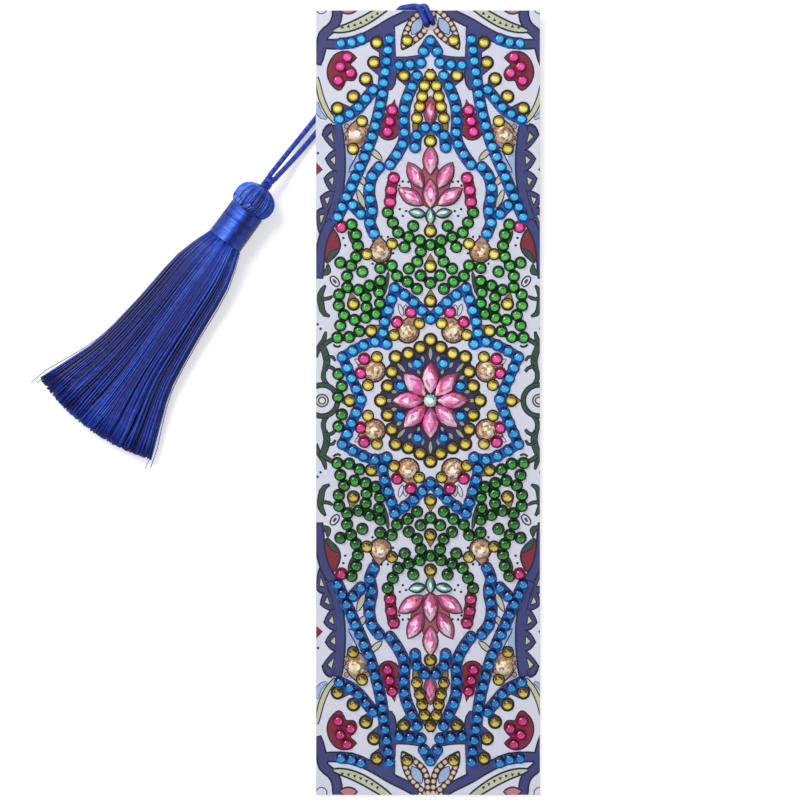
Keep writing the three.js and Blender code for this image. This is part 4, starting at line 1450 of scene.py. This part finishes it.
def add_winding(draw):
    build = Build()
    count = int((NECK_LENGTH - 0.5) / WINDING_PITCH)
    tones = [draw.uniform(-0.07, 0.07) for _ in range(count + 1)]
    path, shades = [], []
    for i in range(count * NECK_SIDES + 1):
        along = NECK_START + 0.25 + WINDING_PITCH * i / NECK_SIDES
        angle = 2 * math.pi * i / NECK_SIDES
        turn = i // NECK_SIDES
        radius = neck_radius(along) + 0.42
        radius += 0.03 * math.sin(turn * 2.3) + 0.02 * math.sin(angle * 3 + turn)
        path.append(round_neck(along, radius, angle))
        share = turn / count
        # A darker ring a third of the way along, a painted shade where the winding's turns overlap
        furrow_shade = 0.2 * math.exp(-(((share - 0.35) / 0.025) ** 2))
        # Painted highlights and painted shade round the winding
        tone = float(np.interp(math.cos(angle), *WINDING_PAINTED_SHEEN))
        shades.append(tone + tones[turn] - furrow_shade)
    build.ring_tube(path, WINDING_THREAD, 5, value=shades)
    layer = [Vector((NECK_START + 0.2 + x, 0, 0)) for x in (0, NECK_LENGTH - 0.4)]
    build.ring_tube(layer, neck_radius(NECK_START) + 0.36, NECK_SIDES, value=0.3)
    # Two rings at the winding's start, painted lighter towards their upper left side, a painted
    # highlight on the edge
    for along, low, high in ((NECK_START + 0.12, 0.3, 0.95), (NECK_START + 0.34, 0.2, 0.6)):
        radius = neck_radius(along) + 0.46
        ring = [round_neck(along, radius, a) for a in round_trip(NECK_SIDES)]
        values = [low + (high - low) * max(0.0, -math.cos(a)) for a in round_trip(NECK_SIDES)]
        build.ring_tube(ring, 0.15, 6, value=values)
    piece = build.finish("neck_thread", [tassel_thread], NECK_FRAME, uv=True)
    dress(piece, "tassel", "neck_winding")


def skirt_point(across, up, along):
    """A thread's place in the fan: across and up run from -1 to 1 in the bundle."""
    width = np.interp(along, SKIRT_REACH, SKIRT_WIDTHS)
    share = along / SKIRT_LENGTH
    depth = np.interp(share, SKIRT_SHARES, SKIRT_DEPTHS)
    middle = np.interp(share, SKIRT_SHARES, SKIRT_MIDDLES)
    return Vector((NECK_END - 0.3 + along, across * width / 2, middle + up * depth / 2))


def spread_evenly(count):
    """Places in the round bundle, evenly filled."""
    golden = math.pi * (3 - math.sqrt(5))
    for i in range(count):
        reach = math.sqrt((i + 0.5) / count)
        yield reach * math.cos(i * golden), reach * math.sin(i * golden)


def add_skirt(draw):
    build = Build()
    locks = [
        (Vector(place), draw.uniform(0.26, 0.48), draw.uniform(-0.05, 0.05))
        for place in spread_evenly(SKIRT_LOCKS)
    ]
    for place in spread_evenly(SKIRT_THREADS):
        own = Vector(place)
        middle, tone, drift = min(locks, key=lambda lock: (lock[0] - own).length)
        ragged = 1 - 0.03 * draw.random() ** 2
        length = SKIRT_LENGTH * ragged + SKIRT_END_BULGE * (1 - own.x**2)
        # Threads on the bundle's upper side, and towards its lower right, are painted lighter:
        # painted light
        shade = tone + 0.1 * own.y + 0.06 * own.x + draw.uniform(-0.2, 0.26)
        bow = draw.uniform(-0.02, 0.02)
        path, shades = [], []
        for j in range(THREAD_STEPS + 1):
            share = j / THREAD_STEPS
            along = length * share
            gather = math.sin(math.pi * min(1.0, share * 1.15) / 2)
            bundled = middle + (own - middle) * (1 - 0.2 * gather)
            sway = (drift + bow) * math.sin(2.2 * math.pi * share) * gather * (1 - own.x**2)
            path.append(skirt_point(bundled.x + sway, bundled.y, along))
            # Painted light near the neck and painted shade along the middle of the length
            painted_shading = 0.16 * max(0.0, 1 - along / 14) - 0.1 * math.sin(math.pi * share)
            shades.append(min(0.74, shade) + painted_shading)
        shades[-1] -= 0.1
        build.ring_tube(path, SKIRT_THREAD_RADIUS, 5, value=shades)
    # Single threads that strayed out of the fan, at both of its sides
    for side, reach, longer in ((-1, 1.02, 2.4), (-1, 0.97, 1.5), (1, 1.03, 1.8), (1, 0.96, 2.9)):
        path = []
        for j in range(THREAD_STEPS + 1):
            share = j / THREAD_STEPS
            across = side * (reach + 0.03 * math.sin(5 * share + longer) * share)
            path.append(skirt_point(across, -0.3, (SKIRT_LENGTH + longer) * share))
        build.ring_tube(path, STRAY_RADIUS, 5, value=0.45)
    piece = build.finish("skirt_threads", [tassel_thread], TASSEL_FRAME, uv=True)
    dress(piece, "tassel", "tassel_skirt")


draw_threads = random.Random(11)
add_knot()
add_head(draw_threads)
add_winding(draw_threads)
add_skirt(draw_threads)


# Table, lamps and background

FLOOR_REACH = 3000
FLOOR_WHITE = (0.9, 0.9, 0.9, 1)
FLOOR_GLOW = 0.4
SKY_STRENGTH = 0.42
LAMP_AIM = Vector((-0.01, 0, 0))


def add_floor():
    mesh = bpy.data.meshes.new("table_top")
    corners = [
        (FLOOR_REACH * x, FLOOR_REACH * y, 0) for x, y in ((-1, -1), (1, -1), (1, 1), (-1, 1))
    ]
    mesh.from_pydata([(TABLE_FRAME @ Vector(c)) * MM for c in corners], [], [(0, 1, 2, 3)])
    material, tree, shader = new_material("white_table", Roughness=0.7)
    shader.inputs["Base Color"].default_value = FLOOR_WHITE
    rays = add(tree, "ShaderNodeLightPath").outputs
    shader.inputs["Emission Color"].default_value = (1, 1, 1, 1)
    seen = rays["Is Camera Ray"]
    for ray in ("Is Glossy Ray", "Is Transmission Ray"):
        seen = math_of(tree, "ADD", seen, rays[ray])
    glow = math_of(tree, "MULTIPLY", seen, FLOOR_GLOW)
    tree.links.new(glow, shader.inputs["Emission Strength"])
    mesh.materials.append(material)
    placed("table_top", mesh)


def add_lamp(name, place, size, energy):
    data = bpy.data.lights.new(name, "AREA")
    data.shape = "RECTANGLE"
    data.size, data.size_y = size
    data.energy = energy
    lamp = placed(name, data)
    lamp.location = place
    lamp.rotation_euler = (LAMP_AIM - lamp.location).to_track_quat("-Z", "Y").to_euler()


def add_world():
    world = bpy.data.worlds.new("studio")
    bpy.context.scene.world = world
    world.use_nodes = True
    back = world.node_tree.nodes["Background"]
    back.inputs["Color"].default_value = (1, 1, 1, 1)
    back.inputs["Strength"].default_value = SKY_STRENGTH


add_floor()
add_world()
add_lamp("window_lamp", (-0.45, 0.5, 0.7), (0.5, 0.5), 6.4)
add_lamp("fill_lamp", (0.6, -0.4, 0.6), (0.6, 0.6), 1.6)

bpy.context.scene.view_settings.view_transform = "Standard"
